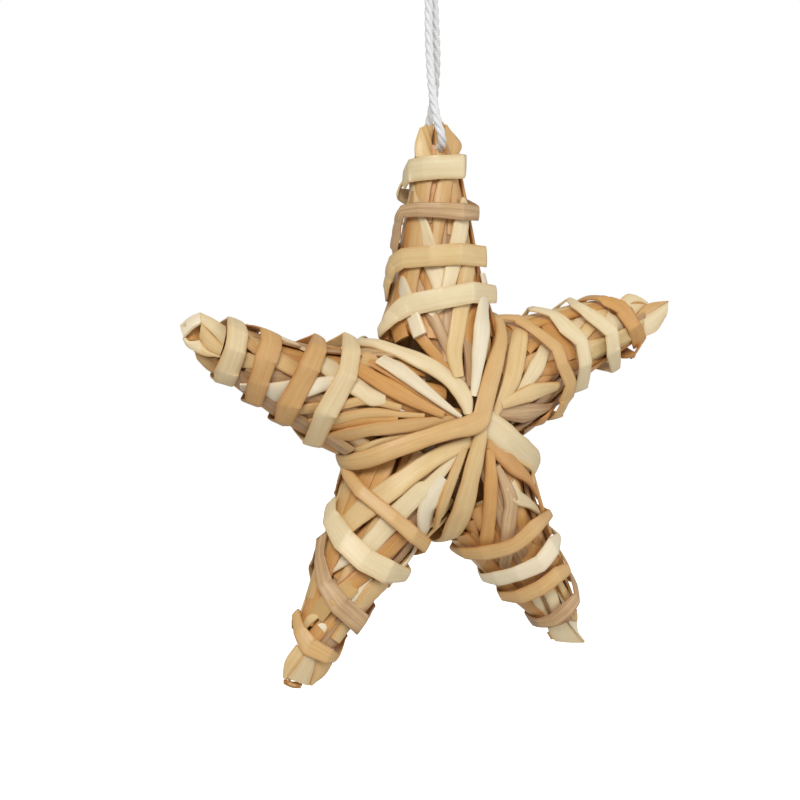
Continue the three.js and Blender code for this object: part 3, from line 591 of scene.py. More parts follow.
# ---------------------------------------------------------------- straws that show
# Each is named after its arm and colour, and given by points of distance along the arm, degrees
# round it, width, and how many layers down it lies. They all lie a little lower than the bindings.
STRAWS = {
    "top": (
        ("white_cut", "white", ((31, -117, 3, 0), (26, -73, 3.5, 0), (17.5, -50, 3, 0))),
        ("brown_falling", "brown", (
            (33, -108, 3, 1.5), (29.5, -75, 3.5, 1.5), (26, -58, 3, 1.5), (18.5, -32, 2.5, 1.5),
            (8, -10, 1.5, 1.5),
        )),
        ("orange_inner", "orange", ((23, -82, 3.5, 1.5), (17, -51, 2.5, 1.5), (8, -12, 2, 1.5))),
        ("cream_falling", "cream", (
            (48, -123, 5, 0), (43, -85, 5, 1), (38, -60, 5, 1), (25, -28, 3.5, 1),
            (21.5, -42, 2, 1),
        )),
        ("grained_rising", "tan", (
            (51, 3, 4, 1), (48.5, -11, 3.5, 1), (44.5, -23, 3.5, 1), (33, -36, 1.5, 1),
        )),
        ("cream_rising", "cream", (
            (44, 37, 4, 0.5), (40.5, 15, 4.5, 0.5), (36, 0, 4, 0.5), (23.5, -26, 2.5, 0.5),
        )),
        ("tan_rising", "honey", (
            (34.5, 36, 3.5, 1), (31, 17, 4.5, 1), (18, -14, 3.5, 1), (14, -18, 3.5, 1),
            (9, -15, 2.5, 1),
        )),
        ("white_right", "white", (
            (29.5, 47, 4, 0), (26, 44, 4, 0), (22.5, 24, 4.5, 0), (18, 12, 5, 0), (5, -2, 1.5, 0),
        )),
        ("honey_upper", "honey", (
            (50.5, -123, 2.5, 1), (48.5, -85, 3.5, 1.5), (44.5, -60, 2.5, 1.5), (40, -47, 2, 1.5),
        )),
        ("tan_core", "orange", (
            (50.5, -55, 3, 2), (44.5, -45, 2, 2), (38.5, -16, 2.5, 2), (34.5, -18, 2, 2),
        )),
        ("tan_core_right", "tan", ((50.5, 35, 3, 1.5), (47, 15, 3, 1.5), (37.5, -5, 2.5, 1.5))),
        ("brown_inner", "orange", ((32, -68, 2.5, 2), (22, -31, 2, 2), (17, -24, 2, 2))),
        ("brown_by_peak", "brown", ((23, -22, 2.5, 1.5), (17, -4, 2.5, 1.5), (7, -1, 2, 1.5))),
        ("orange_right", "orange", (
            (32, 56, 3, 1), (28.5, 56, 3, 1.5), (23, 27, 3, 1.5), (19.5, 2, 3, 1.5),
            (13.5, 0, 2.5, 1.5),
        )),
        ("tan_left_bit", "honey", ((39.5, -103, 2.5, 1), (36.5, -83, 3.5, 1), (33.5, -71, 2, 1))),
        ("orange_flank", "orange", (
            (30, -123, 3, 0), (24.5, -123, 5, 0.5), (21.5, -108, 4, 0.5), (16, -96, 2.5, 0.5),
        )),
        ("orange_low_left", "orange", (
            (23, -80, 4, 1), (20, -76, 4.5, 1), (20, -80, 4.5, 1), (16.5, -72, 4, 1),
        )),
    ),
    "right": (
        ("honey_rising", "honey", (
            (24.5, -72, 2, 0.5), (20.5, -53, 3.5, 0.5), (16, -33, 4, 0.5), (11.5, -14, 4, 0.5),
            (4.5, 7, 2, 0.5),
        )),
        ("cream_rising", "cream", ((24.5, -27, 2.5, 1), (19, -12, 3.5, 1), (12, 3, 2.5, 1))),
        ("honey_level", "honey", ((24, 25, 2, 0.5), (15, 7, 4, 0.5), (7, 1, 2, 0.5))),
        ("pink_grained", "brown", (
            (25.5, 62, 2, 0), (19.5, 42, 3, 1), (13, 25, 4.5, 1), (4, 3, 2, 1),
        )),
        ("pink_under", "brown", ((19.5, 57, 4, 1.5), (15.5, 59, 3, 2), (10, 43, 2, 2))),
        ("orange_bottom", "orange", (
            (23.5, 57, 3, 0), (19.5, 57, 3.5, 0), (16.5, 66, 2, 1.5), (10, 41, 1, 1.5),
        )),
        ("orange_inner", "orange", (
            (30.5, -78, 2.5, 1), (28.5, -44, 4, 1), (29.5, -11, 3.5, 1), (29.5, 4, 3, 1),
        )),
        ("orange_axis", "orange", (
            (19.5, -7, 3, 1.5), (33.5, 28, 2.5, 1.5), (40.5, 65, 2.5, 1), (44, 64, 3.5, 0),
        )),
        ("cream_wide", "honey", (
            (34, 1, 3.5, 1), (43.5, 29, 3.5, 1), (49, 65, 3.5, 0), (51.5, 62, 4, 0),
        )),
        ("honey_inner", "honey", (
            (33, -14, 2.5, 1), (41, -35, 3, 1), (45, -52, 2.5, 1), (49, -81, 1.5, 1),
        )),
        ("cream_inner", "cream", ((33.5, -35, 2.5, 1.5), (41, -57, 2.5, 1.5))),
        ("honey_tip_side", "honey", ((39.5, -39, 2, 1), (43, -48, 3, 1), (45.5, -42, 3, 1))),
        ("cream_tip_side", "cream", (
            (44, -36, 2.5, 1), (45, -18, 3, 1), (47.5, 4, 2.5, 1), (49.5, 40, 2, 1),
        )),
        ("pink_tip_side", "brown", ((44, -3, 2, 1.5), (47, 17, 2, 1.5), (51.5, 60, 1.5, 1))),
        ("tan_low", "tan", ((32.5, 63, 3, 1), (48.5, 64, 2.5, 0))),
        ("orange_gap", "orange", ((19, -34, 3, 2), (24.5, -41, 3.5, 2), (27.5, -17, 3, 2))),
        ("brown_gap", "brown", (
            (22.5, -95, 1.5, 1), (19, -63, 2.5, 2), (15, -36, 2.5, 2), (11, -21, 2.5, 2),
        )),
        ("dark_left", "tan", ((21, -95, 1, 0), (16, -64, 2, 1.5), (8, -27, 1.5, 1.5))),
    ),
    "lower_right": (
        ("orange_rising", "orange", (
            (5, -6, 2, 0.5), (14, 15, 3, 0.5), (25.5, 50, 3, 0.5), (29.5, 72, 2.5, 0.5),
            (34.5, 109, 1.5, 0.5),
        )),
        ("brown_striped", "brown", (
            (11, -1, 1.5, 1), (19.5, 1, 3.5, 1), (23, 10, 3.5, 1), (30, 36, 3, 1),
            (36.5, 69, 2.5, 1),
        )),
        ("orange_falling", "orange", (
            (5.5, -3, 3, 0.5), (13.5, -17, 4, 0.5), (20, -36, 3, 0.5), (26, -57, 2.5, 0),
        )),
        ("cream_short", "cream", (
            (16.5, -5, 3.5, 1), (20, -8, 3.5, 1), (24.5, -28, 2.5, 1), (30, -57, 2, 0.5),
        )),
        ("tan_crease_side", "honey", (
            (3.5, -5, 3.5, 0.5), (3.5, -14, 4, 0.5), (8.5, -22, 5, 0.5), (19, -53, 5, 0),
            (22.5, -52, 4.5, 0),
        )),
        ("tan_right_strip", "tan", ((20.5, -52, 2, 0), (35.5, -59, 2.5, 0))),
        ("orange_mid", "orange", ((28, -12, 2, 1.5), (31.5, -16, 2.5, 1.5), (38.5, -9, 2.5, 1.5))),
        ("orange_mid_left", "orange", (
            (33, -32, 2.5, 1.5), (33.5, -7, 2.5, 1.5), (35, 24, 2, 1.5),
        )),
        ("orange_side", "orange", (
            (37.5, -59, 2.5, 0), (41, -59, 3, 0.5), (39.5, -18, 2.5, 1), (39, 24, 2.5, 1),
            (39.5, 45, 2.5, 1),
        )),
        ("pink_low", "brown", ((36, 72, 3, 1.5), (43.5, 79, 3, 1.5))),
        ("cream_low", "cream", ((43, 40, 2, 1), (50, 64, 2.5, 1))),
        ("cream_low_wide", "cream", ((42.5, 15, 2, 0.5), (46.5, 16, 3, 0.5), (52, 32, 2, 0.5))),
        ("tan_low_side", "honey", ((44.5, -20, 2, 1), (50.5, -25, 2.5, 1))),
        ("orange_back_left", "orange", (
            (18.5, 52, 2.5, 2), (23, 61, 2.5, 2), (29.5, 89, 2.5, 2), (34, 109, 2, 0.5),
        )),
        ("tan_edge_left", "tan", ((29, 109, 2, 0.5), (41, 108, 2, 0))),
        ("orange_core", "orange", ((20, 16, 2, 2.5), (29, 37, 2, 2.5), (37, 37, 2, 2.5))),
        ("tan_edge_right", "tan", ((37.5, -59, 1.5, 0), (45, -58, 1.5, 0))),
    ),
    "lower_left": (
        ("honey_wide", "honey", (
            (4, -8, 2.5, 0.5), (11, 14, 3.5, 0.5), (20, 33, 4.5, 0.5), (26, 50, 5, 0.5),
            (32.5, 74, 5, 0.5),
        )),
        ("cream_crossing", "cream", (
            (6.5, -4, 2, 1), (17, 5, 3, 1), (18.5, 9, 4.5, 1), (34, 27, 4, 1),
        )),
        ("cream_thin", "honey", ((6, -5, 2, 0.5), (18, -23, 3.5, 0.5), (21.5, -44, 2, 0.5))),
        ("cream_flank", "white", (
            (13.5, -8, 5, 1), (20, -10, 5, 1), (24, -39, 5, 1), (28.5, -60, 5, 0.5),
            (36.5, -60, 5, 0),
        )),
        ("tan_crossing", "orange", ((24.5, -13, 4, 1), (38.5, 11, 3.5, 1), (46, 41, 3, 1))),
        ("brown_edge", "brown", ((24.5, -36, 4, 1.5), (32, -39, 3.5, 1.5), (37, -31, 3.5, 1.5))),
        ("tan_behind", "orange", ((15.5, 56, 4, 1.5), (19.5, 54, 4, 1.5), (27, 74, 5, 1.5))),
        ("brown_behind", "brown", ((18, 80, 5, 2), (21, 71, 5, 2), (25, 71, 5, 2))),
        ("honey_left", "honey", ((24, 52, 4, 1), (28.5, 68, 5, 1), (37, 79, 4.5, 1))),
        ("orange_flank", "orange", ((20.5, 107, 3, 1), (23.5, 114, 4.5, 1), (36, 87, 3.5, 1))),
        ("white_mid", "white", ((34, 36, 3.5, 1), (40, 73, 4, 1))),
        ("white_gloss", "white", ((38, -10, 3.5, 1), (46, 8, 3, 1), (51.5, 30, 2.5, 1))),
        ("honey_low", "honey", (
            (43.5, 46, 3, 1), (46.5, 54, 4.5, 1), (50.5, 80, 5, 1), (53, 108, 4.5, 1),
        )),
        ("orange_low", "orange", ((46.5, 12, 3, 1), (50, 22, 3.5, 1), (55.5, 51, 3, 1))),
        ("pink_low", "brown", ((47, -12, 4.5, 1), (54, -15, 4, 1))),
        ("tan_tail", "honey", ((36, -43, 5, 0.5), (39.5, -25, 5, 0.5), (52, -26, 3, 0.5))),
        ("dark_core", "orange", ((24.5, 22, 4, 2.5), (41, 63, 4, 2.5))),
    ),
    "left": (
        ("white_cut", "white", ((22, 55, 5, 0), (18.5, 38, 4.5, 0), (4, 2, 1, 0))),
        ("tan_under_white", "orange", ((23.5, 58, 3.5, 1), (18.5, 34, 3.5, 1), (3.5, -1, 1, 1))),
        ("orange_long", "orange", ((30, 54, 5, 0.5), (19, 16, 3.5, 0.5), (8, 2, 1.5, 0.5))),
        ("tan_top", "tan", ((32.5, 89, 4, 0), (27, 90, 5, 1), (25.5, 59, 5, 1), (22, 64, 4, 1))),
        ("cream_upper", "cream", (
            (36.5, 50, 5, 1), (33.5, 36, 5, 1), (27, 17, 5, 1), (23.5, 7, 4, 1), (21, 8, 2.5, 1),
        )),
        ("white_upper", "white", ((43.5, 86, 4.5, 0), (40.5, 86, 5, 0.5), (35.5, 71, 5, 1))),
        ("tan_axis", "tan", (
            (51.5, 53, 4.5, 1), (48.5, 35, 4.5, 1), (40.5, 14, 3.5, 1), (37, 11, 3, 1),
        )),
        ("tan_low_axis", "honey", ((54, -44, 3.5, 1.5), (48, -4, 3, 1.5), (45, -5, 2.5, 1.5))),
        ("honey_upper", "honey", ((51.5, 85, 4.5, 0), (49, 71, 5, 1), (46, 46, 4.5, 1))),
        ("white_lower", "white", (
            (47.5, -79, 5, 0.5), (42, -36, 5, 0.5), (39, -17, 4.5, 0.5), (32, 13, 2.5, 0.5),
        )),
        ("grained_upper", "tan", (
            (36.5, -52, 2.5, 1), (34, -34, 2.5, 1), (29, -13, 2, 1), (24, 2, 2, 1),
            (17.5, 2, 1.5, 1),
        )),
        ("grained_thin", "tan", (
            (33, -103, 1.5, 0.5), (32.5, -66, 3, 1), (30.5, -45, 3, 1), (28, -30, 2.5, 1),
            (23, -11, 2, 1), (12, -1, 1, 1),
        )),
        ("tan_lower", "tan", (
            (26, -101, 2, 0), (26.5, -63, 3.5, 1), (24, -44, 4, 1), (21.5, -29, 3, 1),
            (13, -11, 3, 1), (4, 1, 1.5, 1),
        )),
        ("brown_inner", "brown", (
            (48, -75, 4, 2), (45, -19, 3, 2), (40.5, 1, 3, 2), (34, 22, 2.5, 2),
        )),
        ("orange_low", "orange", (
            (29, -102, 2.5, 1), (29.5, -62, 3, 1.5), (27.5, -42, 3.5, 1.5), (22, -21, 2.5, 1.5),
            (17, -11, 2, 1.5),
        )),
        ("cream_edge", "cream", ((48, -107, 2.5, 1), (46.5, -69, 3, 1.5), (36.5, -79, 2.5, 1.5))),
        ("honey_bottom", "honey", (
            (25, -101, 2.5, 0), (19, -103, 3.5, 1.5), (19.5, -58, 3, 1.5), (18, -42, 2.5, 1.5),
            (12.5, -24, 2, 1.5),
        )),
    ),
}

STRAW_THICKNESS = 0.8
UNDER_BINDINGS = 0.45
for arm, straws in STRAWS.items():
    for name, tone, points in straws:
        node = f"{arm}_arm_{name}_straw"
        rng = np.random.default_rng(seed_of(node))
        sunk = np.array(points, float) + (0, 0, 0, UNDER_BINDINGS)
        line, across, out, width = laid_on(arm, sunk)
        section = straw_section(18, rng.uniform(0.08, 0.22) * MM, STRAW_THICKNESS * MM, 3.6)
        shape = straw_shape(line, across, out, width, section, rng)
        piece = straw_piece(f"{node}_dressed", [shape], [straw_finish[tone]])
        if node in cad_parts:
            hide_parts(node)

# ---------------------------------------------------------------- back straws
# The plainer straws of each arm's back are pressed into one bundle under the bindings.
# Each runs from one place to another, given as distance along the arm and degrees round it, some
# layers down.
BACK_STRAWS = (
    ((6, 170), (40, 112), 0.9),
    ((7, 190), (40, 246), 0.9),
    ((20, 120), (54, 150), 0.2),
    ((20, 240), (54, 212), 0.2),
    ((5, 178), (54, 184), 0.1),
    ((12, 140), (50, 206), 1.7),
    ((12, 218), (50, 158), 1.7),
    ((16, 105), (50, 118), 1.3),
    ((16, 258), (50, 244), 1.3),
)
BACK_TONES = ("tan", "honey", "cream", "brown", "honey", "tan")
for arm in ARMS:
    node = f"{arm}_arm_back_straws"
    rng = np.random.default_rng(seed_of(node))
    shapes, kinds = [], []
    for start, end, layer in BACK_STRAWS:
        width = rng.uniform(3.4, 4.4)
        route = [
            (start[0] + (end[0] - start[0]) * t, start[1] + (end[1] - start[1]) * t, width, layer)
            for t in np.linspace(0, 1, 8)
        ]
        line, across, out, widths = laid_on(arm, route)
        section = straw_section(14, 0.2 * MM, STRAW_THICKNESS * MM, 2.8)
        shapes.append(straw_shape(line, across, out, widths, section, rng))
        kinds.append(int(rng.integers(0, len(BACK_TONES))))
    finishes = [straw_finish[t] for t in BACK_TONES]
    piece = straw_piece(f"{node}_dressed", shapes, finishes, kinds)
    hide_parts(node)

# ---------------------------------------------------------------- bindings
# Each arm is bound with one flat straw after another, wound round it and creased where it turns
# over the straws below. A turn is given by its creases on the front: distance along the arm,
# degrees round it, width, and layers down (a negative one lies on top).
TURNS = {
    "top": (
        ("cream", (
            (51.5, 24, 5, -0.9), (51.4, -27, 5, -0.9), (51.2, -58, 5, -0.9), (50.7, -89, 4.8, -0.9),
            (48.5, -123, 4.3, -1.3), (46.1, -123, 2.4, -2.2),
        )),
        ("brown", (
            (41.9, 55, 3.1, -0.9), (42.3, 5, 3.6, -0.9), (42.7, -29, 3.1, -0.9),
            (42.9, -59, 3.1, -0.9), (42.5, -89, 2.7, -0.9), (40.4, -99, 3.7, -0.9),
            (37.5, -98, 3.7, -0.9), (34.3, -100, 3.2, -0.9),
        )),
        ("honey", (
            (33, 49, 4.4, -0.9), (33.8, -6, 4.5, -0.9), (33.5, -40, 4.3, -0.9),
            (33, -76, 4.2, -0.9), (31.5, -94, 4.1, -0.9), (28.9, -103, 3.9, -0.9),
            (26, -109, 4, -0.9),
        )),
        ("cream", (
            (25.2, 55, 3.7, -1.2), (26, 5, 4.4, -0.9), (25, -29, 4.4, -0.9), (23.5, -64, 4.5, -0.9),
            (21.8, -76, 3.9, -0.9), (19.8, -84, 2.9, -0.9), (17.8, -93, 2, -0.9),
        )),
    ),
    "right": (
        ("orange", (
            (48.3, 64, 3.4, -2.4), (51.6, 60, 3.9, -1.3), (48.7, 6, 3.8, -0.9),
            (47.5, -35, 3.8, -0.9), (45.4, -53, 2.9, -0.9), (44.9, -65, 2, -0.9),
        )),
        ("cream", (
            (43, 65, 2.6, -2.3), (41.1, 25, 3.9, -0.9), (41.6, -6, 3.5, -0.9),
            (38.5, -41, 3.3, -0.9), (37.7, -62, 2.5, -0.9), (38.8, -85, 1.3, -0.9),
        )),
        ("cream", (
            (31.4, 55, 3.8, -0.9), (31.8, 16, 3.6, -0.9), (32.5, -13, 3.5, -0.9),
            (30.8, -35, 4.1, -0.9), (30.6, -58, 2.7, -0.9), (28.5, -78, 2.1, -0.9),
            (30.1, -99, 1.2, -0.9),
        )),
        ("tan", (
            (22.8, 57, 4.3, -1.7), (25.4, 44, 5, -0.9), (26.5, 25, 3.1, -0.9),
            (24.9, -2, 2.9, -0.9), (25.3, -19, 3.1, -0.9), (22.9, -44, 2.5, -0.9),
            (21.7, -66, 2.8, -0.9), (18, -77, 1.7, -0.9),
        )),
    ),
    "lower_right": (
        ("brown", (
            (50.4, 68, 2.4, -0.9), (51, 40, 3.4, -0.9), (50.5, 8, 3.7, -0.9),
            (50.6, -26, 2.9, -0.9),
        )),
        ("tan", (
            (40.2, 86, 2.5, -0.9), (41.2, 57, 3.8, -0.9), (41.4, 23, 3.8, -0.9),
            (41.7, -7, 3.9, -0.9), (43.9, -40, 2.6, -0.9),
        )),
        ("white", (
            (33.9, 87, 2.1, -0.9), (34.5, 65, 3.8, -0.9), (35.1, 38, 3.6, -0.9), (36.3, 6, 4, -0.9),
            (36, -25, 4.4, -0.9), (37.3, -59, 1.6, -1.3),
        )),
        ("tan", (
            (26, 109, 1.2, -1.1), (25.6, 79, 2.8, -0.9), (26.6, 57, 3.6, -0.9),
            (27.8, 34, 3.6, -0.9), (28.4, 19, 3.4, -0.9), (28.3, -6, 3.8, -0.9),
            (29, -24, 2.9, -0.9), (31.4, -57, 1.9, -1.3),
        )),
    ),
    "lower_left": (
        ("tan", (
            (50.9, 96, 1.9, -0.9), (53.9, 71, 2.8, -0.9), (55.9, 36, 3.9, -0.9),
            (55.5, -21, 3.3, -0.9), (54.5, -61, 1.7, -1.2),
        )),
        ("brown", (
            (35.1, 91, 2.8, -0.9), (39.5, 79, 2.5, -0.9), (43.7, 55, 3.5, -0.9),
            (46.1, 20, 4.5, -0.9), (46.5, -44, 4.7, -0.9),
        )),
        ("cream", (
            (27.7, 101, 3, -0.9), (31, 88, 4, -0.9), (34.4, 56, 5, -0.9), (36, 22, 5, -0.9),
            (35.4, -13, 5, -0.9), (32.7, -60, 2.7, -1.5),
        )),
        ("tan", (
            (20.4, 92, 2, -0.9), (22, 83, 2.5, -0.9), (24.3, 61, 2.8, -0.9), (26.1, 17, 3.1, -0.9),
            (26.6, -11, 3.4, -0.9), (26, -46, 3.1, -0.9),
        )),
    ),
    "left": (
        ("cream", (
            (52.6, 88, 3.7, -0.9), (53.7, 39, 5, -0.9), (53.7, -4, 5, -0.9), (53, -53, 5, -0.9),
            (51.6, -79, 4, -0.9),
        )),
        ("tan", (
            (46.3, 60, 5, -0.9), (46.9, 32, 4.8, -0.9), (47.6, 4, 5, -0.9), (47.1, -33, 4.6, -0.9),
            (45, -69, 3.7, -0.9),
        )),
        ("tan", (
            (33.6, 87, 2.5, -1.3), (36.3, 52, 4.2, -0.9), (38.5, 18, 5, -0.9), (39.5, -39, 5, -0.9),
            (37.6, -68, 3.8, -0.9),
        )),
        ("cream", (
            (26.5, 90, 3.1, -2.3), (28.7, 58, 4.3, -0.9), (30.4, 22, 4.6, -0.9),
            (32.2, -28, 4.9, -0.9), (29, -79, 4.1, -0.9),
        )),
    ),
}
BINDING_THICKNESS = 0.5
HIDDEN_CREASE = 46.0
BINDING_WIDTH = 4.0
BINDING_BULGE = 0.15 * MM
ON_TOP = -0.9
# Shares of the way from one crease to the next, and how near to a crease its two flats blend.
FLAT_SHARES = (0.0, 0.07, 0.2, 0.4, 0.6, 0.8, 0.93)
CREASE_SHARE = 0.14


def wound_creases(turns):
    """All creases of one binding with the ones behind the arm, and the turn that each belongs to."""
    creases, owner = [], []
    for k, (_, points) in enumerate(turns):
        front = [(along, degrees - 360 * k, width, layer) for along, degrees, width, layer in points]
        if creases:
            along_a, degrees_a, _, layer_a = creases[-1]
            along_b, degrees_b, _, layer_b = front[0]
            steps = max(2, round((degrees_a - degrees_b) / HIDDEN_CREASE))
            for j in range(1, steps):
                t = j / steps
                along = along_a + (along_b - along_a) * t
                degrees = degrees_a + (degrees_b - degrees_a) * t
                if 0.2 < t < 0.8:
                    layer = layer_a + (layer_b - layer_a) * t
                else:
                    layer = (ON_TOP + (layer_a if t < 0.5 else layer_b)) / 2
                creases.append((along, degrees, BINDING_WIDTH, layer))
                owner.append(k - 1 if t < 0.6 else k)
        creases += front
        owner += [k] * len(front)
    # Both ends run on round the arm and tuck in under the turn beside them.
    first, last = creases[0], creases[-1]
    for j in (1, 2):
        turn, layer = HIDDEN_CREASE * j, ON_TOP + 0.3 * j
        creases.insert(0, (first[0] + 0.5 * j, first[1] + turn, BINDING_WIDTH, layer))
        owner.insert(0, 0)
        creases.append((last[0] - 0.5 * j, last[1] - turn, BINDING_WIDTH, layer))
        owner.append(len(turns) - 1)
    return creases, owner


def binding_piece(arm):
    """One arm's binding: flats between its creases, bent over sharply at each one."""
    node = f"{arm}_arm_binding"
    rng = np.random.default_rng(seed_of(node))
    creases, owner = wound_creases(TURNS[arm])
    p = np.array(creases, float)
    radius = skin(p[:, 0], p[:, 1]) - LAYER * p[:, 3] - LAYER / 3
    round_points = round_arm(p[:, 0], p[:, 1], radius)
    corners = in_star(arm, round_points)
    radial = unit(in_star(arm, round_points + unit(round_points * np.array([0, 1, 1]))) - corners)
    flats = []
    for i in range(len(p) - 1):
        run = unit(corners[i + 1] - corners[i])
        out = radial[i] + radial[i + 1]
        flats.append(unit(out - run * np.dot(out, run)))
    line, across, out, width, turn = [], [], [], [], []
    for i, flat in enumerate(flats):
        run = unit(corners[i + 1] - corners[i])
        side = np.cross(run, flat)
        for t in FLAT_SHARES:
            if t < CREASE_SHARE / 2:
                near, weight = i - 1, 1 - t / CREASE_SHARE
            else:
                near, weight = i + 1, (t - 1 + CREASE_SHARE) / CREASE_SHARE
            blend = max(0.0, min(0.5, weight / 2)) if 0 <= near < len(flats) else 0.0
            other = near if blend else i
            other_side = np.cross(unit(corners[other + 1] - corners[other]), flats[other])
            bulge = flat * (BINDING_BULGE * math.sin(math.pi * t))
            line.append(corners[i] * (1 - t) + corners[i + 1] * t + bulge)
            out.append(unit(flat * (1 - blend) + flats[other] * blend))
            across.append(unit(side * (1 - blend) + other_side * blend))
            width.append((p[i, 2] * (1 - t) + p[i + 1, 2] * t) * MM)
            turn.append(owner[i] if t < 0.5 else owner[i + 1])
    section = straw_section(14, 0.08 * MM, BINDING_THICKNESS * MM, 3.4)
    line, across, out, width = (np.array(values) for values in (line, across, out, width))
    shape = straw_shape(line, across, out, width, section, rng, wobble=0.015)
    finishes = [straw_finish[tone] for tone, _ in TURNS[arm]]
    piece = straw_piece(f"{node}_dressed", [shape], finishes)
    rings = turn[:1] * 2 + turn + turn[-1:] * 2
    points = len(section[0])
    kinds = [rings[min(polygon.vertices) // points] for polygon in piece.data.polygons]
    piece.data.polygons.foreach_set("material_index", kinds)
    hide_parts(node)


for arm in ARMS:
    binding_piece(arm)

# ---------------------------------------------------------------- folded tips
# Broad straws fold over at each tip. Each face of a fold is given by its two edges: distance along
# the arm, sideways and to the front. The back has the same folds in plainer colours.
TIP_FOLDS = {
    "top": (
        ("honey",
            ((53.5, -6.6, 2.2), (56.1, -6.2, 1.2), (59.4, -4.5, 0.3)),
            ((53.6, -3.2, 3), (57, -4, 2.2), (59.5, -4.2, 0.6))),
        ("tan",
            ((53.9, -2.8, 2.2), (57, -3.4, 1.4), (59.5, -4, 0.2)),
            ((54.5, -1.8, 1.4), (57.3, -1.8, 0.6), (60.3, -2, -0.6))),
        ("tan",
            ((53.6, -2.1, 2.8), (58.5, -1.2, 1), (62, -0.1, -0.5)),
            ((53.6, -0.4, 3.2), (57.8, 0.7, 1.5), (60.3, 1.7, 0.1))),
        ("tan",
            ((53.6, -0.4, 3), (57.7, 0.5, 1.7), (60.2, 1.8, 0.3)),
            ((53.7, 3.8, 2.2), (56.1, 5.8, 0.6), (59.8, 2.6, 0))),
    ),
    "left": (
        ("cream",
            ((55.1, 3.6, 2), (58.4, 3.7, 1.5), (61, 3.4, 1)),
            ((55.7, -0.5, 4.2), (58.2, 0.7, 3.2), (61, 1.4, 2.6))),
        ("white",
            ((61, 3.4, 1), (62.4, 1.6, 0), (63.3, -0.6, -1)),
            ((61, 1.4, 2.6), (62.1, -0.2, 2), (62.9, -2.6, 1))),
        ("orange",
            ((60.3, 1.2, 1), (59.4, -0.1, 0.4), (59.1, -1.4, 0.8)),
            ((62.2, -0.6, 0.2), (61.9, -1.7, -0.2), (61.6, -2.6, 0.5))),
        ("honey",
            ((60.9, 1.4, 2.7), (58.7, 0.5, 3.3), (55.7, -0.5, 4.2)),
            ((59.6, -1.4, 1.4), (58.1, -2.5, 2.6), (55.6, -2.5, 3.8))),
        ("cream",
            ((62.5, -2.3, 0.6), (61.9, -2.8, 1.2), (59.6, -1.5, 1.7)),
            ((62.5, -2.9, 0.2), (61.3, -3.9, 0.9), (58.6, -3.7, 2.2))),
        ("honey",
            ((59.8, -1.5, 1.6), (57.8, -2.4, 2.6), (55.3, -2.4, 3.7)),
            ((60, -4, 1.4), (57.8, -3.8, 2.4), (55.7, -2.9, 3.2))),
        ("tan",
            ((59.1, -3.6, 0), (56.6, -3.5, 0.8), (53.8, -1.8, 1.4)),
            ((57.4, -4.6, -1), (54.9, -5.3, -0.8), (52.2, -5.3, -0.4))),
    ),
    "right": (
        ("cream",
            ((51.6, -4.1, 0.2), (55.2, -4.6, -0.8), (57.3, -3.6, -0.8)),
            ((53.7, -0.1, 1.6), (56.5, -0.7, 0.8), (59.3, -1.2, 0))),
        ("tan",
            ((53.8, 0, 1.7), (58.4, -1.2, 0.7), (64.6, -0.1, 0)),
            ((53.6, 1.3, 2.1), (58.8, 0.7, 1.3), (64.3, 0.1, 0.1))),
        ("cream",
            ((53.3, 1, 2.3), (58.6, 0.6, 1.5), (64.4, 0.1, 0.2)),
            ((53.5, 4.9, 2.8), (58, 5, 1.8), (62.6, 3, 0.5))),
    ),
    "lower_right": (
        ("cream",
            ((54.7, 1.4, 3.2), (58.9, 0.9, 2), (63.4, 0.1, 0.2)),
            ((53, 5.3, 2.6), (56, 5.5, 1.4), (57.6, 5.2, 0.8))),
        ("orange",
            ((54.7, 5.5, 0.8), (55.3, 5.5, 0.6), (56.3, 5.5, 0.4)),
            ((54, 4.7, 2.2), (55.1, 5.1, 1.6), (56.7, 5.4, 1))),
        ("tan",
            ((54.4, 0.7, 2.8), (55.9, -0.2, 2.4), (57.6, -1.3, 1.6)),
            ((53.8, -1, 2.6), (54.5, -2.1, 2), (55.2, -3.3, 1.2))),
        ("white",
            ((54.9, 0.7, 2.6), (57.9, 0.5, 1.8), (63.3, -0.1, 0)),
            ((57.7, -1.4, 1.4), (59.7, -0.5, 0.8), (63.4, -0.4, -0.2))),
    ),
    "lower_left": (
        ("honey",
            ((56.6, 4.3, 1.5), (60.4, 4, 0), (63, 2.5, -0.8)),
            ((57.5, 2.4, 3.4), (60.5, 2.2, 1.8), (63.6, 1.9, 0))),
        ("cream",
            ((57.6, 2.6, 3.6), (60.5, 2.3, 2.4), (63.1, 2.3, 1)),
            ((56.8, 0, 3.8), (59.4, -1.5, 2.6), (62.1, -3, 1))),
        ("tan",
            ((56.8, 0, 3.8), (59.4, -1.6, 2.6), (61.9, -3.2, 1)),
            ((55.9, -4.9, 2.4), (58.5, -5.2, 1.4), (61.5, -4, 0.6))),
        ("orange",
            ((63.6, 2, -0.6), (63.2, 0.9, 0.2), (62.4, -1.8, 0.4)),
            ((63.9, 1.3, -1.2), (63.7, -0.6, -0.8), (62.9, -2.3, -0.6))),
    ),
}
FOLD_THICKNESS = 0.45
FOLD_CROWN = 0.25
FOLD_STEPS, FOLD_LANES = 10, 6
BEHIND_SHARE = 0.6


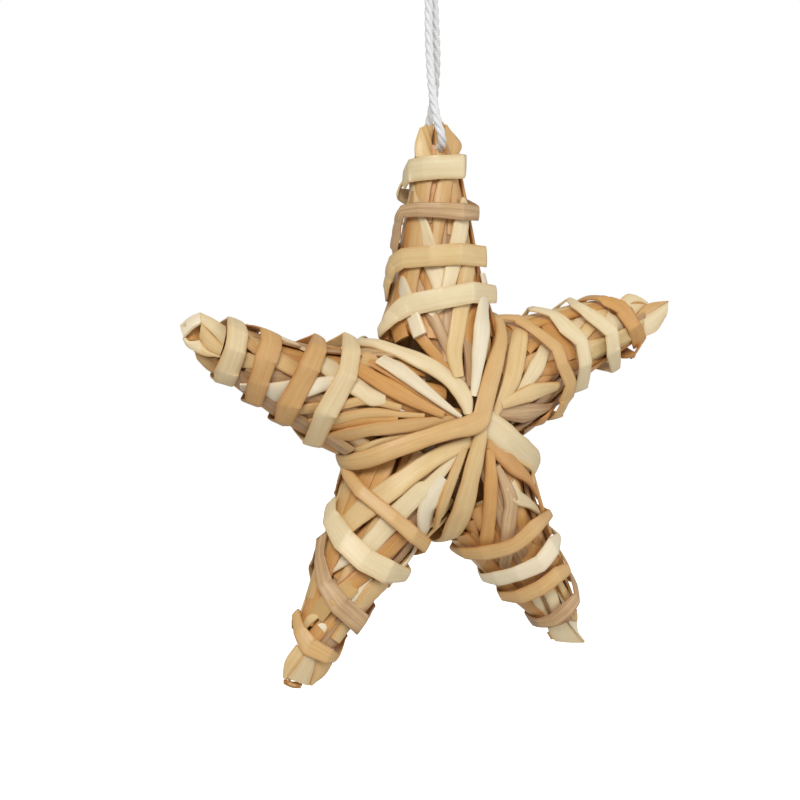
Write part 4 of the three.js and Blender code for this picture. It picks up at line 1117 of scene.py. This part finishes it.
def fold_shape(edge_a, edge_b, arm, rng):
    """A thin sheet between two curved edges, a little crowned, as a closed slab."""
    sides = [smooth_line(edge, 0.35)[0] for edge in (edge_a, edge_b)]
    steps = np.linspace(0, 1, FOLD_STEPS + 1)
    sides = [
        np.stack([np.interp(steps, np.linspace(0, 1, len(side)), side[:, k]) for k in range(3)], 1)
        for side in sides
    ]
    share = np.linspace(0, 1, FOLD_LANES + 1)
    grid = sides[0][:, None] * (1 - share[None, :, None]) + sides[1][:, None] * share[None, :, None]
    run = np.gradient(grid, axis=0)
    over = np.gradient(grid, axis=1)
    normal = unit(np.cross(run, over))
    if normal[..., 2].mean() * np.sign(grid[..., 2].mean() + 1e-6) < 0:
        normal = -normal
    crown = FOLD_CROWN * (4 * share * (1 - share))[None, :, None]
    top = grid + normal * crown
    under = top - normal * FOLD_THICKNESS
    rows, lanes = FOLD_STEPS + 1, FOLD_LANES + 1
    vertices = np.concatenate([top.reshape(-1, 3), under.reshape(-1, 3)])
    faces = []
    base = rows * lanes
    for i in range(rows - 1):
        for j in range(lanes - 1):
            a = i * lanes + j
            b, c, d = a + 1, a + lanes + 1, a + lanes
            faces += [(a, b, c, d), (base + d, base + c, base + b, base + a)]
    rim = list(range(lanes))
    rim += [i * lanes + lanes - 1 for i in range(1, rows)]
    rim += [(rows - 1) * lanes + j for j in range(lanes - 2, -1, -1)]
    rim += [i * lanes for i in range(rows - 2, 0, -1)]
    for here, there in zip(rim, rim[1:] + rim[:1]):
        faces.append((there, here, base + here, base + there))
    own = rng.uniform(0, 60)
    width = float(np.linalg.norm(grid[:, -1] - grid[:, 0], axis=1).max())
    lengths = np.linalg.norm(np.diff(grid.mean(axis=1), axis=0), axis=1)
    travelled = np.concatenate([[0], np.cumsum(lengths)])
    space = np.stack(
        np.broadcast_arrays(travelled[:, None] + own * 3, (share[None, :] - 0.5) * width, own), axis=-1
    ).reshape(-1, 3)
    edge = np.broadcast_to(np.abs(2 * share - 1)[None, :], (rows, lanes)).reshape(-1)
    return in_star(arm, vertices), faces, np.tile(space, (2, 1)), np.tile(edge, 2)


PLAINER = {"white": "cream", "cream": "honey", "honey": "tan", "tan": "honey", "orange": "tan"}
for arm, folds in TIP_FOLDS.items():
    node = f"{arm}_arm_folded_tip"
    rng = np.random.default_rng(seed_of(node))
    shapes, tones = [], []
    for tone, edge_a, edge_b in folds:
        shapes.append(fold_shape(edge_a, edge_b, arm, rng))
        tones.append(tone)
    for tone, edge_a, edge_b in folds:
        behind = [np.array(edge) * (1, BEHIND_SHARE, -BEHIND_SHARE) for edge in (edge_a, edge_b)]
        shapes.append(fold_shape(*behind, arm, rng))
        tones.append(PLAINER[tone])
    kinds = sorted(set(tones))
    finishes = [straw_finish[t] for t in kinds]
    indices = [kinds.index(t) for t in tones]
    piece = straw_piece(f"{node}_dressed", shapes, finishes, indices)
    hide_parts(node)

# ---------------------------------------------------------------- crease straws
# A straw lies in each crease between two arms. It starts at the peak, turns round the notch and
# comes back behind; one lies over the peak and down two creases. Given from the star's centre:
# sideways, to the back, up, and width.
CREASE_STRAWS = {
    "right_crease_straw": ("cream", (
        (0.8, -13.5, 0.4, 4.4), (2.8, -13.3, -0.6, 5.2), (4.8, -13.1, -1.9, 5.6),
        (8.2, -12.6, -4.3, 5.8), (12.9, -10.8, -7.2, 5.8), (18.3, -7.6, -10.3, 5.4),
        (20.8, -4.5, -12.4, 5), (21.6, 0, -13.2, 4.6), (19.8, 5, -11, 4.4), (12, 9.8, -6.2, 4.2),
        (4, 12.6, -2, 4),
    )),
    "bottom_crease_straw": ("honey", (
        (1.2, -13.8, -0.4, 2.8), (0.7, -13.9, -2.8, 3.3), (0, -13.5, -6.3, 3.8),
        (-0.8, -12.3, -11.8, 4.4), (-0.8, -9.3, -18.4, 5), (-0.6, -6.5, -22, 5.2), (0, -3, -25, 5),
        (0.1, 1.5, -25.6, 4.6), (-0.3, 7, -21, 4.4), (-0.4, 11.2, -11, 4.2), (-0.2, 13.2, -4, 4),
    )),
    "upper_left_crease_straw": ("cream", (
        (-2.5, -14, 1.5, 1.9), (-2.7, -13.5, 4.1, 3.4), (-3.7, -12.4, 6.9, 4.4),
        (-5.8, -10.9, 9.5, 4), (-9.9, -8.6, 12.2, 3.8), (-13.5, -4.9, 14.4, 3),
        (-16.5, -1.2, 15.9, 2.4), (-17.4, 3.2, 16, 2.2), (-14.5, 7.6, 15.6, 3.6), (-8, 11, 9.4, 4),
        (-2, 13.4, 3, 4),
    )),
    "crease_straw_over_the_peak": ("tan", (
        (-2, 13.6, -1, 3.8), (-10, 11.6, -3.2, 3.8), (-18, 7.8, -6, 3.8), (-22.8, 3.2, -7.8, 3.4),
        (-24.2, -1.8, -7.8, 3.4), (-22.6, -7.2, -6.8, 3.9), (-19.8, -10.6, -5.2, 3.8),
        (-13, -13.4, -2.9, 3.6), (-6.8, -14.3, -1.4, 3.9), (-2.5, -14.6, -0.7, 4.4),
        (0.1, -14.7, 0.4, 4.5), (1.1, -14.5, 2.8, 4.3), (2.3, -14, 5.5, 4.1), (4.1, -13.1, 9, 4),
        (6.2, -11.8, 12.2, 3.7), (8.8, -9.7, 15.5, 3.2), (10.8, -6.9, 18.2, 2.8),
        (12.4, -3, 20.4, 2.8), (13.2, 1.8, 20.4, 3), (11.4, 7, 16.5, 3.6), (6, 11.2, 8.5, 3.8),
        (2, 13.8, 2, 3.8),
    )),
}
CREASE_THICKNESS = 0.8
for node, (tone, points) in CREASE_STRAWS.items():
    rng = np.random.default_rng(seed_of(node))
    p = np.array(points, float)
    line, place = smooth_line(STAR_CENTRE + p[:, :3] * MM, 0.6 * MM)
    width = np.interp(place, np.arange(len(p)), p[:, 3]) * MM
    run = runs_along(line)[0]
    across = carried(line, (-run[2], 0, run[0]))
    out = np.cross(across, runs_along(line))
    if np.dot(out[len(out) // 3], (0, -1, 0)) < 0:
        out = -out
    section = straw_section(18, 0.2 * MM, CREASE_THICKNESS * MM, 2.8)
    shape = straw_shape(line, across, out, width, section, rng)
    piece = straw_piece(f"{node}_dressed", [shape], [straw_finish[tone]])
    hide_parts(node)

# ---------------------------------------------------------------- studio
# A pale floor far below, a white room and soft lights.
floor_mesh = bpy.data.meshes.new("floor")
floor_mesh.from_pydata([(-6, -6, -0.9), (6, -6, -0.9), (6, 6, -0.9), (-6, 6, -0.9)], [], [(0, 1, 2, 3)])
floor = bpy.data.objects.new("floor", floor_mesh)
bpy.context.scene.collection.objects.link(floor)
paper, paper_tree, paper_shader = new_material("white_paper")
paper_shader.inputs["Base Color"].default_value = (0.8, 0.8, 0.8, 1)
seen = add_node(paper_tree, "ShaderNodeLightPath")
paper_shader.inputs["Emission Color"].default_value = (1, 1, 1, 1)
paper_tree.links.new(seen.outputs["Is Camera Ray"], paper_shader.inputs["Emission Strength"])
floor_mesh.materials.append(paper)

# The room's strength as light on the star, and as the white that is seen behind it.
ROOM_LIGHT, ROOM_SEEN = 0.42, 1.0
world = bpy.data.worlds.new("white_room")
world.use_nodes = True
air = world.node_tree.nodes["Background"]
air.inputs["Color"].default_value = (1, 1, 1, 1)
path = add_node(world.node_tree, "ShaderNodeLightPath")
level = add_node(
    world.node_tree,
    "ShaderNodeMix",
    {"data_type": "FLOAT"},
    Factor=path.outputs["Is Camera Ray"],
    A=ROOM_LIGHT,
    B=ROOM_SEEN,
)
world.node_tree.links.new(level.outputs[0], air.inputs["Strength"])
bpy.context.scene.world = world
bpy.context.scene.view_settings.view_transform = "Standard"

for name, place, size, power in (
    ("key_light", (-0.7, -0.9, 0.7), 0.5, 10.5),
    ("fill_light", (0.9, -0.8, 0.1), 0.8, 3.6),
):
    lamp = bpy.data.lights.new(name, "AREA")
    lamp.size = size
    lamp.energy = power
    holder = bpy.data.objects.new(name, lamp)
    holder.location = Vector(STAR_CENTRE) + Vector(place)
    holder.rotation_mode = "QUATERNION"
    holder.rotation_quaternion = (-Vector(place)).to_track_quat("-Z", "Y")
    bpy.context.scene.collection.objects.link(holder)
